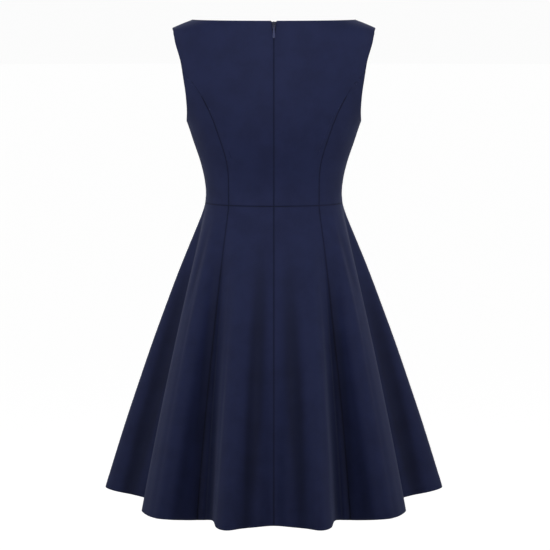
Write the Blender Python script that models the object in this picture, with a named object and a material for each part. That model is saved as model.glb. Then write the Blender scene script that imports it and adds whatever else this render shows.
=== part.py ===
"""A sleeveless fit-and-flare dress with a boat neck, princess seams and a concealed back zip.

The dress keeps the form it has when worn. Its front faces -Y, its back +Y, and the wearer's
left is +X. The origin is midway between the shoulder seams, level with their neck ends.

Each cloth panel is a thin wall cut from one of two forms. The bodice form is a stack of
superellipse sections. The skirt form runs in nearly straight lines from the waist seam to a
folded hem. A panel is given by its four edges on its form, as a paper pattern piece is.
A bearing is an angle round the body: 0 is the centre back, 90 the side, 180 the centre front.
"""

import math

import bpy
import bmesh
import numpy as np
from mathutils import Matrix, Vector

# Driving dimensions, in metres and degrees.
CLOTH = 0.0016
SEAM_GAP = 0.0003
SQUARENESS = 2.2

SHOULDER_TIP = -0.0160
UNDERARM = -0.1900
WAIST = -0.3433
HEM = -0.8940

BACK_NECK = -0.0022
FRONT_NECK = -0.0360
BACK_JUNCTION = -0.0940
FRONT_JUNCTION = -0.1050
NECK_FLATNESS = 3.0
NECK_CROWDING = 1.15

HEM_RADIUS = 0.3080
BELL = 0.145
WAIST_HOLD = 0.70
HOLD_REACH = 0.056
SIDE_BACK_SEAM = 32.75
SIDE_SEAM = 90.0
SIDE_FRONT_SEAM = 149.0

TAPE_INNER = 0.0034
TAPE_OUTER = 0.0140
TAPE_DEPTH = 0.0032
TAPE_WALL = 0.0008
COIL_HALF_WIDTH = 0.0030
COIL_WALL = 0.0018
ZIP_END_DROP = 0.28

# The slider's shield and bridge. Heights and depths are in the zip's own axes.
PIVOT_LEVEL = -0.0112
PIVOT_OUT = 0.0015
PLATE_HALF_WIDTH = 0.0028
PLATE_TOP = 0.0080
PLATE_TOP_HALF_WIDTH = 0.0010
PLATE_SHOULDER = 0.0050
PLATE_TAPER = -0.0010
PLATE_BOTTOM = -0.0052
PLATE_BOTTOM_HALF_WIDTH = 0.0012
PLATE_FACE = 0.0004
PLATE_WALL = 0.0020
BRIDGE_HALF_WIDTH = 0.0008
BRIDGE_WALL = 0.0012
BRIDGE_SPAN = 0.0029
BRIDGE_CLEAR = 0.0010
BRIDGE_CORNER = 0.0008

# The pull tab, from its bar down.
PULL_LENGTH = 0.0232
PULL_WALL = 0.0012
BAR_RADIUS = 0.0006
EYE_HALF_WIDTH = 0.0013
EYE_END_HALF_WIDTH = 0.0006
EYE_LENGTH = 0.0050
EYE_CORNER = 0.0008
EYE_RIM = 0.0010
EYE_SHOULDER = 0.0012
NECK_HALF_WIDTH = 0.0009
NECK_BELOW = 0.0006
DROP_HALF_WIDTH = 0.0027

# Rows of cells in a panel, up its side and across it.
SEAM_ROWS = 7
ARMHOLE_ROWS = 6
NECK_COLUMNS = 6
SHOULDER_COLUMNS = 3
SIDE_COLUMNS = 6
SKIRT_ROWS = 8
ROW_EASE = 1.25
BACK_COLUMNS = 13
SIDE_BACK_COLUMNS = 22
SIDE_FRONT_COLUMNS = 20
FRONT_COLUMNS = 22

# Points along a gore's hem, from which its evenly spaced columns are read.
FINE_POINTS = 400

# Half steps in bearing and in level or drop, over which a form's slopes are taken.
BODICE_STEPS = (0.25, 0.0004)
SKIRT_STEPS = (0.25, -0.002)


def table(columns, rows):
    """Named columns, each an array with one value for every row."""
    return dict(zip(columns.split(), np.array(rows, dtype=float).T))


# Sections through the bodice form, from the waist seam up to the neck ends of the shoulders.
SECTIONS = table(
    "level    half_width  back_depth  front_depth",
    [
        (WAIST,    0.1300, 0.0920, 0.0960),
        (-0.3280,  0.1287, 0.0895, 0.0945),
        (-0.3000,  0.1311, 0.0900, 0.0985),
        (-0.2680,  0.1384, 0.0945, 0.1080),
        (-0.2280,  0.1517, 0.1015, 0.1190),
        (UNDERARM, 0.1645, 0.1060, 0.1240),
        (-0.1550,  0.1800, 0.1068, 0.1215),
        (-0.1150,  0.1945, 0.1045, 0.1130),
        (-0.0700,  0.2015, 0.0985, 0.0985),
        (-0.0360,  0.2000, 0.0922, 0.0850),
        (SHOULDER_TIP, 0.1902, 0.0875, 0.0760),
        (-0.0080,  0.1725, 0.0855, 0.0715),
        (0.0,      0.1518, 0.0835, 0.0670),
    ],
)

# The armhole's edge: its distance from the centre line at each level, behind and in front.
ARMHOLE = table(
    "level    back    front",
    [
        (UNDERARM, 0.1645, 0.1645),
        (-0.1750,  0.1628, 0.1590),
        (-0.1450,  0.1635, 0.1555),
        (-0.1070,  0.1684, 0.1580),
        (-0.0647,  0.1757, 0.1665),
        (-0.0300,  0.1845, 0.1800),
        (SHOULDER_TIP, 0.1902, 0.1902),
    ],
)

# The princess seams below the armhole: their distance from the centre line.
BACK_PRINCESS = table(
    "level    width",
    [
        (WAIST,   0.0838),
        (-0.2630, 0.0875),
        (-0.2101, 0.1033),
        (-0.1760, 0.1160),
        (-0.1510, 0.1285),
        (-0.1169, 0.1487),
    ],
)
FRONT_PRINCESS = table(
    "level    width",
    [
        (WAIST,   0.0780),
        (-0.2700, 0.0835),
        (-0.2150, 0.0930),
        (-0.1750, 0.1080),
        (-0.1350, 0.1330),
    ],
)

# The hem and its folds. A straight line runs from each waist bearing to the hem point on the
# same row. A fold grows down the skirt as a power of the spread, so a high power starts low.
# The hem hangs lower by the dip in the valleys, where the cloth slants out less.
FOLDS = table(
    "bearing  radius  dip  waist_bearing  power",
    [
        (0.0,   0.309, 0.0000, 0.0,   1.6),
        (6.5,   0.304, 0.0045, 9.5,   2.0),
        (10.0,  0.328, 0.0015, 14.5,  2.2),
        (13.5,  0.352, 0.0000, 19.5,  2.2),
        (17.6,  0.338, 0.0000, 25.0,  2.2),
        (20.3,  0.308, 0.0000, 28.5,  2.2),
        (24.0,  0.274, 0.0050, 31.5,  1.8),
        (28.5,  0.256, 0.0100, 34.8,  1.5),
        (SIDE_BACK_SEAM, 0.256, 0.0130, 38.2, 1.3),
        (34.7,  0.279, 0.0095, 42.5,  1.2),
        (36.1,  0.306, 0.0045, 46.5,  1.1),
        (38.2,  0.326, 0.0010, 52.0,  1.0),
        (42.0,  0.330, 0.0000, 59.0,  1.0),
        (46.5,  0.323, 0.0000, 66.0,  1.0),
        (50.4,  0.314, 0.0000, 71.5,  1.0),
        (55.0,  0.296, 0.0040, 75.0,  1.0),
        (61.5,  0.271, 0.0080, 78.0,  1.0),
        (69.0,  0.249, 0.0110, 80.5,  1.0),
        (75.5,  0.243, 0.0110, 82.5,  1.0),
        (80.0,  0.263, 0.0080, 84.5,  1.0),
        (83.0,  0.292, 0.0040, 86.5,  1.0),
        (86.5,  0.316, 0.0010, 88.3,  1.0),
        (SIDE_SEAM, 0.325, 0.0000, 90.0, 1.0),
        (94.0,  0.316, 0.0010, 91.6,  1.0),
        (98.5,  0.291, 0.0040, 93.6,  1.0),
        (102.5, 0.268, 0.0080, 96.0,  1.0),
        (109.5, 0.257, 0.0110, 98.5,  1.0),
        (117.0, 0.267, 0.0095, 101.5, 1.0),
        (123.0, 0.286, 0.0060, 105.5, 1.0),
        (129.0, 0.303, 0.0030, 110.5, 1.1),
        (134.5, 0.312, 0.0000, 117.0, 1.1),
        (140.5, 0.311, 0.0000, 124.0, 1.2),
        (144.0, 0.294, 0.0040, 130.0, 1.2),
        (146.3, 0.267, 0.0090, 136.0, 1.3),
        (SIDE_FRONT_SEAM, 0.248, 0.0130, 145.2, 1.4),
        (153.0, 0.249, 0.0120, 149.0, 1.5),
        (157.5, 0.271, 0.0080, 152.5, 1.6),
        (160.5, 0.300, 0.0040, 156.0, 1.8),
        (164.0, 0.322, 0.0010, 160.5, 2.0),
        (168.5, 0.327, 0.0000, 166.0, 2.1),
        (173.5, 0.310, 0.0020, 172.5, 2.0),
        (180.0, 0.300, 0.0030, 180.0, 1.8),
    ],
)

# How far the centre back edges part round the slider, by distance below the back neckline.
NOTCH = table(
    "below    half_gap",
    [
        (0.0000, 0.0052),
        (0.0040, 0.0036),
        (0.0150, 0.0033),
        (0.0270, 0.0),
    ],
)

NAVY = (0.020, 0.024, 0.070)
SLIDER_BLUE = (0.03, 0.04, 0.08)
PULL_BLUE = (0.05, 0.06, 0.13)
CLOTH_ROUGHNESS = 0.8
TAPE_ROUGHNESS = 0.85
COIL_ROUGHNESS = 0.5
LACQUER_ROUGHNESS = 0.35
LACQUER_METALLIC = 0.5


def smooth(rows, key, column, at):
    """Reads a column at any key, on cubics whose slopes come from the rows on either side."""
    x = rows[key]
    y = rows[column]
    slope = np.gradient(y, x)
    at = np.asarray(at, dtype=float)
    i = np.clip(np.searchsorted(x, at, side="right") - 1, 0, len(x) - 2)
    step = x[i + 1] - x[i]
    t = (at - x[i]) / step
    start = (1 + 2 * t) * (1 - t) ** 2 * y[i] + t * (1 - t) ** 2 * step * slope[i]
    end = t * t * (3 - 2 * t) * y[i + 1] + t * t * (t - 1) * step * slope[i + 1]
    return start + end


def mirrored_rows(rows, odd):
    """The rows with one more past each end, so that both ends read as a mirror's plane."""
    wide = {}
    for name, values in rows.items():
        if name in odd:
            before = -values[1]
            after = 360.0 - values[-2]
        else:
            before = values[1]
            after = values[-2]
        wide[name] = np.concatenate([[before], values, [after]])
    return wide


ALL_FOLDS = mirrored_rows(FOLDS, odd=("bearing", "waist_bearing"))


def half_turn(bearing):
    """A bearing folded to 0..180, and the side that it lies on: 1 for left, -1 for right."""
    turned = (np.asarray(bearing, dtype=float) + 180.0) % 360.0 - 180.0
    return np.abs(turned), np.where(turned < 0.0, -1.0, 1.0)


def bodice_form(bearing, level):
    """A point of the superellipse section at this level: x is the half width times the sine,
    and y the depth times the cosine, each raised to 2 / SQUARENESS."""
    folded, side = half_turn(bearing)
    sine = np.sin(np.radians(folded))
    cosine = np.cos(np.radians(folded))
    half_width = smooth(SECTIONS, "level", "half_width", level)
    back = smooth(SECTIONS, "level", "back_depth", level)
    front = smooth(SECTIONS, "level", "front_depth", level)
    depth = np.where(cosine >= 0.0, back, -front)
    x = side * half_width * np.abs(sine) ** (2.0 / SQUARENESS)
    y = depth * np.abs(cosine) ** (2.0 / SQUARENESS)
    return np.stack(np.broadcast_arrays(x, y, level), axis=-1)


def skirt_form(bearing, drop):
    """A point on the line from the waist to a round hem, pushed out or in by the fold there.
    drop goes from 0 at the waist to 1 at the hem. The waist seam holds the cloth in at first,
    by a share that dies away below it, and then the cloth bells out a little. The hem is lower
    by the dip."""
    folded, side = half_turn(bearing)
    held = WAIST_HOLD * np.exp(-drop / HOLD_REACH)
    spread = drop * (1.0 + BELL * (1.0 - drop) - held)
    waist = bodice_form(smooth(ALL_FOLDS, "bearing", "waist_bearing", folded), WAIST)
    depth = smooth(ALL_FOLDS, "bearing", "radius", folded) - HEM_RADIUS
    power = smooth(ALL_FOLDS, "bearing", "power", folded)
    reach = HEM_RADIUS * spread + depth * np.maximum(spread, 0.0) ** power
    x = waist[..., 0] * (1.0 - spread) + reach * np.sin(np.radians(folded))
    y = waist[..., 1] * (1.0 - spread) + reach * np.cos(np.radians(folded))
    dip = smooth(ALL_FOLDS, "bearing", "dip", folded)
    z = WAIST + drop * (HEM - dip - WAIST)
    return np.stack(np.broadcast_arrays(side * x, y, z), axis=-1)


def outward(form, across, along, steps):
    """Unit normals of a form, from the differences between points just either side."""
    turn = form(across + steps[0], along) - form(across - steps[0], along)
    rise = form(across, along + steps[1]) - form(across, along - steps[1])
    normal = np.cross(rise, turn)
    return normal / np.linalg.norm(normal, axis=-1, keepdims=True)


def patch(bottom, top, left, right):
    """Fills four edges: the blend from left to right, plus the blend from bottom to top,
    less the blend of the corners. Each edge is a list of (bearing, level) pairs."""
    u = np.linspace(0.0, 1.0, len(bottom))[None, :, None]
    v = np.linspace(0.0, 1.0, len(left))[:, None, None]
    sides = (1 - u) * left[:, None] + u * right[:, None]
    ends = (1 - v) * bottom[None] + v * top[None]
    low = (1 - u) * bottom[0] + u * bottom[-1]
    high = (1 - u) * top[0] + u * top[-1]
    return sides + ends - (1 - v) * low - v * high


def edge(bearings, levels):
    """One edge of a panel as (bearing, level) pairs."""
    return np.stack(np.broadcast_arrays(bearings, levels), axis=-1).astype(float)


def joined(first, second):
    """Two edges end to end, without the point that they share."""
    return np.concatenate([first, second[1:]])


def bearing_of(width, level, front):
    """The bearing at which the section at this level is width from the centre line."""
    share = width / smooth(SECTIONS, "level", "half_width", level)
    angle = np.degrees(np.arcsin(np.clip(share, 0.0, 1.0) ** (SQUARENESS / 2.0)))
    return 180.0 - angle if front else angle


def armhole_edge(levels, front):
    """The armhole's edge at these levels."""
    width = smooth(ARMHOLE, "level", "front" if front else "back", levels)
    return edge(bearing_of(width, levels, front), levels)


def eased(start, end, count):
    """Values from start to end that crowd together towards the end, on a quarter of a sine."""
    return start + (end - start) * np.sin(np.linspace(0.0, math.pi / 2, count))


def princess_edge(front):
    """The princess seam from the waist up to the armhole, which its top point lies on."""
    rows = FRONT_PRINCESS if front else BACK_PRINCESS
    junction = FRONT_JUNCTION if front else BACK_JUNCTION
    at_armhole = smooth(ARMHOLE, "level", "front" if front else "back", junction)
    whole = {
        "level": np.append(rows["level"], junction),
        "width": np.append(rows["width"], at_armhole),
    }
    levels = np.linspace(WAIST, junction, SEAM_ROWS + 1)
    return edge(bearing_of(smooth(whole, "level", "width", levels), levels, front), levels)


def centre_levels(neck):
    """Levels up the centre line, close together where the back edges part for the slider."""
    below = NOTCH["below"][::-1]
    plain = np.linspace(WAIST, neck - below[0], SEAM_ROWS + ARMHOLE_ROWS - len(below) + 2)
    return np.concatenate([plain, neck - below[1:]])


def centre_panel(front):
    """Half of the centre panel: centre line, princess seam and upper armhole, neck, shoulder."""
    centre = 180.0 if front else 0.0
    neck = FRONT_NECK if front else BACK_NECK
    junction = FRONT_JUNCTION if front else BACK_JUNCTION
    outer = joined(
        princess_edge(front),
        armhole_edge(eased(junction, SHOULDER_TIP, ARMHOLE_ROWS + 1), front),
    )
    inner = edge(centre, centre_levels(neck))
    turn = np.linspace(0.0, math.pi / 2, NECK_COLUMNS + 1)
    bearings = centre + (SIDE_SEAM - centre) * np.sin(turn) ** NECK_CROWDING
    neckline = edge(bearings, neck * np.cos(turn) ** NECK_FLATNESS)
    shoulder = edge(SIDE_SEAM, np.linspace(0.0, SHOULDER_TIP, SHOULDER_COLUMNS + 1))
    top = joined(neckline, shoulder)
    bottom = edge(np.linspace(centre, outer[0, 0], len(top)), WAIST)
    return patch(bottom, top, inner, outer)


def side_panel(front):
    """The panel from the princess seam to the side seam, under the armhole."""
    seam = princess_edge(front)
    side = edge(SIDE_SEAM, np.linspace(WAIST, UNDERARM, SEAM_ROWS + 1))
    junction = FRONT_JUNCTION if front else BACK_JUNCTION
    top = armhole_edge(eased(junction, UNDERARM, SIDE_COLUMNS + 1), front)
    bottom = edge(np.linspace(seam[0, 0], SIDE_SEAM, SIDE_COLUMNS + 1), WAIST)
    return patch(bottom, top, seam, side)


def skirt_drops():
    """The skirt's rows from the waist down, closer together under the waist seam."""
    return np.linspace(0.0, 1.0, SKIRT_ROWS + 1) ** ROW_EASE


def skirt_panel(start, end, columns):
    """A gore between two bearings, from the hem up to the waist. Its columns are spaced evenly
    along the hem, so that the steep sides of the folds have as many as their tops."""
    fine = np.linspace(start, end, FINE_POINTS)
    steps = np.linalg.norm(np.diff(skirt_form(fine, 1.0), axis=0), axis=1)
    run = np.append(0.0, np.cumsum(steps))
    bearings = np.interp(np.linspace(0.0, run[-1], columns + 1), run, fine)
    return np.stack(np.meshgrid(bearings, skirt_drops()[::-1]), axis=-1)


def pulled_back(points, normals, line, inside):
    """Moves one edge of a grid half a seam gap towards the inside, along the surface."""
    away = points[inside] - points[line]
    along = np.gradient(points[line], axis=0)
    along /= np.linalg.norm(along, axis=-1, keepdims=True)
    for axis in (along, normals[line]):
        away = away - np.sum(away * axis, axis=-1, keepdims=True) * axis
    away /= np.linalg.norm(away, axis=-1, keepdims=True)
    return away * SEAM_GAP / 2


EDGES = {
    "bottom": ((0, slice(None)), (1, slice(None))),
    "top": ((-1, slice(None)), (-2, slice(None))),
    "left": ((slice(None), 0), (slice(None), 1)),
    "right": ((slice(None), -1), (slice(None), -2)),
}


def cloth_wall(form, steps, grid, seams):
    """Outer and inner points of a panel, with each edge that is a seam pulled back."""
    points = form(grid[..., 0], grid[..., 1])
    normals = outward(form, grid[..., 0], grid[..., 1], steps)
    moves = np.zeros_like(points)
    for name in seams:
        line, inside = EDGES[name]
        moves[line] += pulled_back(points, normals, line, inside)
    return points + moves, points + moves - CLOTH * normals


def grid_faces(outer):
    """Faces of a closed wall between two grids of points, the outer one first."""
    rows, columns = outer.shape[:2]
    index = np.arange(rows * columns).reshape(rows, columns)
    a, b = index[:-1, :-1].ravel(), index[:-1, 1:].ravel()
    c, d = index[1:, 1:].ravel(), index[1:, :-1].ravel()
    front = np.stack([a, b, c, d], axis=-1)
    back = front[:, ::-1] + rows * columns
    rim = np.concatenate([index[0, :-1], index[:-1, -1], index[-1, :0:-1], index[:0:-1, 0]])
    following = np.roll(rim, -1)
    shift = rows * columns
    side = np.stack([following, rim, rim + shift, following + shift], axis=-1)
    return np.concatenate([front, back, side])


def material(name, colour, roughness, metallic=0.0):
    """A plain finish for one piece."""
    finish = bpy.data.materials.new(name)
    finish.use_nodes = True
    shader = finish.node_tree.nodes["Principled BSDF"]
    shader.inputs["Base Color"].default_value = (*colour, 1.0)
    shader.inputs["Roughness"].default_value = roughness
    shader.inputs["Metallic"].default_value = metallic
    return finish


def add_object(name, mesh, finish):
    """Puts a mesh in the scene as a smooth-shaded object."""
    mesh.materials.append(finish)
    mesh.shade_smooth()
    mesh.set_sharp_from_angle(angle=math.radians(35))
    piece = bpy.data.objects.new(name, mesh)
    bpy.context.scene.collection.objects.link(piece)
    return piece


def add_wall(name, outer, inner, finish):
    """A closed wall as one object, with its faces pointing out."""
    faces = grid_faces(outer)
    points = np.concatenate([outer.reshape(-1, 3), inner.reshape(-1, 3)])
    mesh = bpy.data.meshes.new(name)
    mesh.from_pydata(points.tolist(), [], faces.tolist())
    shape = bmesh.new()
    shape.from_mesh(mesh)
    bmesh.ops.recalc_face_normals(shape, faces=shape.faces)
    shape.to_mesh(mesh)
    shape.free()
    return add_object(name, mesh, finish)


def on_both_sides(name, outer, inner):
    """The left piece and its mirror image on the right."""
    for side, sign in (("left", 1.0), ("right", -1.0)):
        full = f"{name}_{side}"
        turned = np.array([sign, 1.0, 1.0])
        add_wall(full, outer * turned, inner * turned, material(full, NAVY, CLOTH_ROUGHNESS))


def part_for_slider(outer, inner):
    """Opens the centre back edge of the left panel where the slider sits between the edges."""
    below = BACK_NECK - outer[:, 0, 2]
    gap = np.interp(below, NOTCH["below"], NOTCH["half_gap"])
    outer[:, 0, 0] += gap
    inner[:, 0, 0] += gap
    return outer, inner


def whole_front(half):
    """A panel cut on the fold: the half grid joined to its mirror image at bearing 180."""
    mirror = half[:, ::-1].copy()
    mirror[..., 0] = 360.0 - mirror[..., 0]
    return np.concatenate([half[:, ::-1][:, :-1], mirror[:, ::-1]], axis=1)


def build_bodice():
    """Seven panels: two centre backs, two side backs, two side fronts and a centre front."""
    all_round = ("left", "right", "bottom", "top")
    back = cloth_wall(bodice_form, BODICE_STEPS, centre_panel(False), all_round)
    on_both_sides("bodice_back", *part_for_slider(*back))
    for name, front in (("bodice_side_back", False), ("bodice_side_front", True)):
        walls = cloth_wall(bodice_form, BODICE_STEPS, side_panel(front), ("left", "right", "bottom"))
        on_both_sides(name, *walls)
    walls = cloth_wall(bodice_form, BODICE_STEPS, whole_front(centre_panel(True)), all_round)
    add_wall("bodice_front", *walls, material("bodice_front", NAVY, CLOTH_ROUGHNESS))


def build_skirt():
    """Seven gores: two centre backs, two side backs, two side fronts and a centre front."""
    seams = ("left", "right", "top")
    gores = (
        ("skirt_back", 0.0, SIDE_BACK_SEAM, BACK_COLUMNS),
        ("skirt_side_back", SIDE_BACK_SEAM, SIDE_SEAM, SIDE_BACK_COLUMNS),
        ("skirt_side_front", SIDE_SEAM, SIDE_FRONT_SEAM, SIDE_FRONT_COLUMNS),
    )
    for name, start, end, columns in gores:
        grid = skirt_panel(start, end, columns)
        on_both_sides(name, *cloth_wall(skirt_form, SKIRT_STEPS, grid, seams))
    grid = skirt_panel(SIDE_FRONT_SEAM, 360.0 - SIDE_FRONT_SEAM, FRONT_COLUMNS)
    walls = cloth_wall(skirt_form, SKIRT_STEPS, grid, seams)
    add_wall("skirt_front", *walls, material("skirt_front", NAVY, CLOTH_ROUGHNESS))


def seam_line():
    """Points down the centre back, and the outward normal at each, over bodice and skirt.
    At the waist seam the normal is halfway between the two forms' own."""
    levels = centre_levels(BACK_NECK)[::-1]
    levels = levels[levels <= BACK_NECK - NOTCH["below"][-1]]
    drops = skirt_drops()[1:]
    drops = np.append(drops[drops < ZIP_END_DROP], ZIP_END_DROP)
    upper = bodice_form(0.0, levels)
    lower = skirt_form(0.0, drops)
    above = outward(bodice_form, 0.0, levels, BODICE_STEPS)
    below = outward(skirt_form, 0.0, drops, SKIRT_STEPS)
    above[-1] += outward(skirt_form, 0.0, -2 * SKIRT_STEPS[1], SKIRT_STEPS)
    above[-1] /= np.linalg.norm(above[-1])
    normals = np.concatenate([above, below])
    return np.concatenate([upper, lower]), normals


def add_strip(name, start, end, depth, wall, finish):
    """A flat strip behind the centre back seam, from x = start to x = end."""
    points, normals = seam_line()
    columns = np.stack([points + (x, 0.0, 0.0) for x in (start, end)], axis=1)
    normals = normals[:, None]
    add_wall(name, columns - depth * normals, columns - (depth + wall) * normals, finish)


def build_zip_tapes():
    """Two woven tapes and the closed coil between them, from below the slider to the hip."""
    for side, sign in (("left", 1.0), ("right", -1.0)):
        name = f"zip_tape_{side}"
        tape = material(name, NAVY, TAPE_ROUGHNESS)
        add_strip(name, sign * TAPE_INNER, sign * TAPE_OUTER, TAPE_DEPTH, TAPE_WALL, tape)
    coil = material("zip_coil", NAVY, COIL_ROUGHNESS)
    add_strip("zip_coil", -COIL_HALF_WIDTH, COIL_HALF_WIDTH, TAPE_DEPTH, COIL_WALL, coil)


def zip_place():
    """Turns the zip's own axes into the dress's. In them x is the hinge's axis, y is straight
    out from the cloth and z is up along it. The origin is on the cloth at the pivot's level."""
    level = np.array(PIVOT_LEVEL)
    x, y, z = bodice_form(0.0, level)
    normal = outward(bodice_form, 0.0, level, BODICE_STEPS)
    lean = math.atan2(normal[2], normal[1])
    return Matrix.Translation((x, y, z)) @ Matrix.Rotation(lean, 4, "X")


def prism(outline, low, high, plane):
    """A closed mesh: an outline extruded between two values of the axis it doesn't use."""
    shape = bmesh.new()
    if plane == "xz":
        corners = [(a, low, b) for a, b in outline]
        move = Vector((0.0, high - low, 0.0))
    else:
        corners = [(low, a, b) for a, b in outline]
        move = Vector((high - low, 0.0, 0.0))
    face = shape.faces.new([shape.verts.new(corner) for corner in corners])
    grown = bmesh.ops.extrude_face_region(shape, geom=[face])
    moved = [item for item in grown["geom"] if isinstance(item, bmesh.types.BMVert)]
    bmesh.ops.translate(shape, verts=moved, vec=move)
    bmesh.ops.recalc_face_normals(shape, faces=shape.faces)
    mesh = bpy.data.meshes.new("prism")
    shape.to_mesh(mesh)
    shape.free()
    return mesh


def arc(centre, radius, start, end, count):
    """Points round part of a circle, by angle in degrees."""
    turns = np.radians(np.linspace(start, end, count))
    return [(centre[0] + radius * math.cos(t), centre[1] + radius * math.sin(t)) for t in turns]


def combine(piece, name, mesh, operation, place):
    """Adds a mesh to a piece or cuts it away, and puts both in place. The tool isn't shown."""
    tool = bpy.data.objects.new(name, mesh)
    tool.hide_render = True
    tool.display_type = "WIRE"
    bpy.context.scene.collection.objects.link(tool)
    change = piece.modifiers.new(name, "BOOLEAN")
    change.operation = operation
    change.solver = "EXACT"
    change.object = tool
    piece.matrix_world = place
    tool.matrix_world = place


def build_slider():
    """The slider's shield, which fills the notch, and the bridge that holds the pull."""
    shield = [
        (-PLATE_BOTTOM_HALF_WIDTH, PLATE_BOTTOM),
        (PLATE_BOTTOM_HALF_WIDTH, PLATE_BOTTOM),
        (PLATE_HALF_WIDTH, PLATE_TAPER),
        (PLATE_HALF_WIDTH, PLATE_SHOULDER),
        (PLATE_TOP_HALF_WIDTH, PLATE_TOP),
        (-PLATE_TOP_HALF_WIDTH, PLATE_TOP),
        (-PLATE_HALF_WIDTH, PLATE_SHOULDER),
        (-PLATE_HALF_WIDTH, PLATE_TAPER),
    ]
    plate = prism(shield, PLATE_FACE - PLATE_WALL, PLATE_FACE, "xz")
    inside = PIVOT_OUT + BRIDGE_CLEAR
    outside = inside + BRIDGE_WALL
    foot = PLATE_FACE - PLATE_WALL / 2
    gap = BRIDGE_SPAN - BRIDGE_WALL
    arch = [
        (foot, -BRIDGE_SPAN),
        (outside - BRIDGE_CORNER, -BRIDGE_SPAN),
        (outside, -BRIDGE_SPAN + BRIDGE_CORNER),
        (outside, BRIDGE_SPAN - BRIDGE_CORNER),
        (outside - BRIDGE_CORNER, BRIDGE_SPAN),
        (foot, BRIDGE_SPAN),
        (foot, gap),
        (inside, gap),
        (inside, -gap),
        (foot, -gap),
    ]
    bridge = prism(arch, -BRIDGE_HALF_WIDTH, BRIDGE_HALF_WIDTH, "yz")
    lacquer = material("zip_slider", SLIDER_BLUE, LACQUER_ROUGHNESS, LACQUER_METALLIC)
    slider = add_object("zip_slider", plate, lacquer)
    combine(slider, "bridge_tool", bridge, "UNION", zip_place())


def pull_outline():
    """The tab's outline below its bar: the eye's sides, a narrow neck and a drop."""
    side = EYE_HALF_WIDTH + EYE_RIM
    eye_end = -EYE_LENGTH - EYE_RIM
    drop = (0.0, -PULL_LENGTH + DROP_HALF_WIDTH)
    right = [
        (side, BAR_RADIUS),
        (side, -EYE_LENGTH + EYE_SHOULDER),
        (NECK_HALF_WIDTH, eye_end - NECK_BELOW),
    ]
    tip = arc(drop, DROP_HALF_WIDTH, 8.0, -188.0, 13)
    left = [(-x, z) for x, z in reversed(right)]
    return right + tip + left


def build_pull():
    """The pull tab: a drop-shaped plate whose eye goes round the slider's bridge. Its bar,
    the top of the eye, turns under the bridge, and the object's origin is on its axis."""
    plate = prism(pull_outline(), -PULL_WALL / 2, PULL_WALL / 2, "xz")
    eye = [
        (EYE_HALF_WIDTH, -BAR_RADIUS),
        (EYE_HALF_WIDTH, -EYE_LENGTH + EYE_CORNER),
        (EYE_END_HALF_WIDTH, -EYE_LENGTH),
        (-EYE_END_HALF_WIDTH, -EYE_LENGTH),
        (-EYE_HALF_WIDTH, -EYE_LENGTH + EYE_CORNER),
        (-EYE_HALF_WIDTH, -BAR_RADIUS),
    ]
    lacquer = material("zip_pull", PULL_BLUE, LACQUER_ROUGHNESS, LACQUER_METALLIC)
    pull = add_object("zip_pull", plate, lacquer)
    hole = prism(eye, -PULL_WALL, PULL_WALL, "xz")
    place = zip_place() @ Matrix.Translation((0.0, PIVOT_OUT, 0.0))
    combine(pull, "eye_cutter", hole, "DIFFERENCE", place)


def main():
    for old in list(bpy.data.objects):
        bpy.data.objects.remove(old)
    build_bodice()
    build_skirt()
    build_zip_tapes()
    build_slider()
    build_pull()


main()
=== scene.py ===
# %% [markdown]
# # A navy crepe dress, worn by nobody
# A fit-and-flare dress is a fitted bodice of seven panels sewn to a skirt of seven gores, closed
# by a concealed zip down the centre back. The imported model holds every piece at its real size.
# This lesson makes each again as cloth, thin and matte, with pressed seams, turned edges and
# soft folds, in the form that the dress has when worn.

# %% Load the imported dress
import math

import bpy
import numpy as np
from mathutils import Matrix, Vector


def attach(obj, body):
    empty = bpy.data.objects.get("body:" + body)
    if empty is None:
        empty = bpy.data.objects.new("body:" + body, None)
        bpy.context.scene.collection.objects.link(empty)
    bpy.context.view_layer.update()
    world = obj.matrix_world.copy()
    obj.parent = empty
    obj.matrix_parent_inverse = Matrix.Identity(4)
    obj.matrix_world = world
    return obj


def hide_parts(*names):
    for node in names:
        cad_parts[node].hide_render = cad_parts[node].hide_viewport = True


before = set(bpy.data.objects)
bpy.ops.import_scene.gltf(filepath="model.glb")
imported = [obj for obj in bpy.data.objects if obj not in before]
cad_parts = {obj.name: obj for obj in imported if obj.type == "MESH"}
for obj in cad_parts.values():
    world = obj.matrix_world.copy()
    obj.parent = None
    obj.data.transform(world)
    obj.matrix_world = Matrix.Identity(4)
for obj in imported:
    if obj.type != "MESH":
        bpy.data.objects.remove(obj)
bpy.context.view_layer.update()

# %% [markdown]
# ## The dress's own measurements
# A dressmaker works from a few lengths down the body: the shoulder tip, the underarm, the waist
# and the hem. Here they are levels below the neck ends of the shoulder seams, where z is 0. The
# back is +Y and the wearer's left is +X. A bearing is an angle round the body: 0 is the centre
# back, 90 the side and 180 the centre front.

# %% Levels, seams and tables of sections
SQUARENESS = 2.2
SHOULDER_TIP = -0.0160
UNDERARM = -0.1900
WAIST = -0.3433
HEM = -0.8940
BACK_NECK = -0.0022
FRONT_NECK = -0.0360
BACK_JUNCTION = -0.0940
FRONT_JUNCTION = -0.1050
NECK_FLATNESS = 3.0
NECK_CROWDING = 1.15
HEM_RADIUS = 0.3080
BELL = 0.145
WAIST_HOLD = 0.70
HOLD_REACH = 0.056
SIDE_BACK_SEAM = 32.75
SIDE_SEAM = 90.0
SIDE_FRONT_SEAM = 149.0


def table(columns, rows):
    """Named columns, each an array with one value for every row."""
    return dict(zip(columns.split(), np.array(rows, dtype=float).T))


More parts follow.
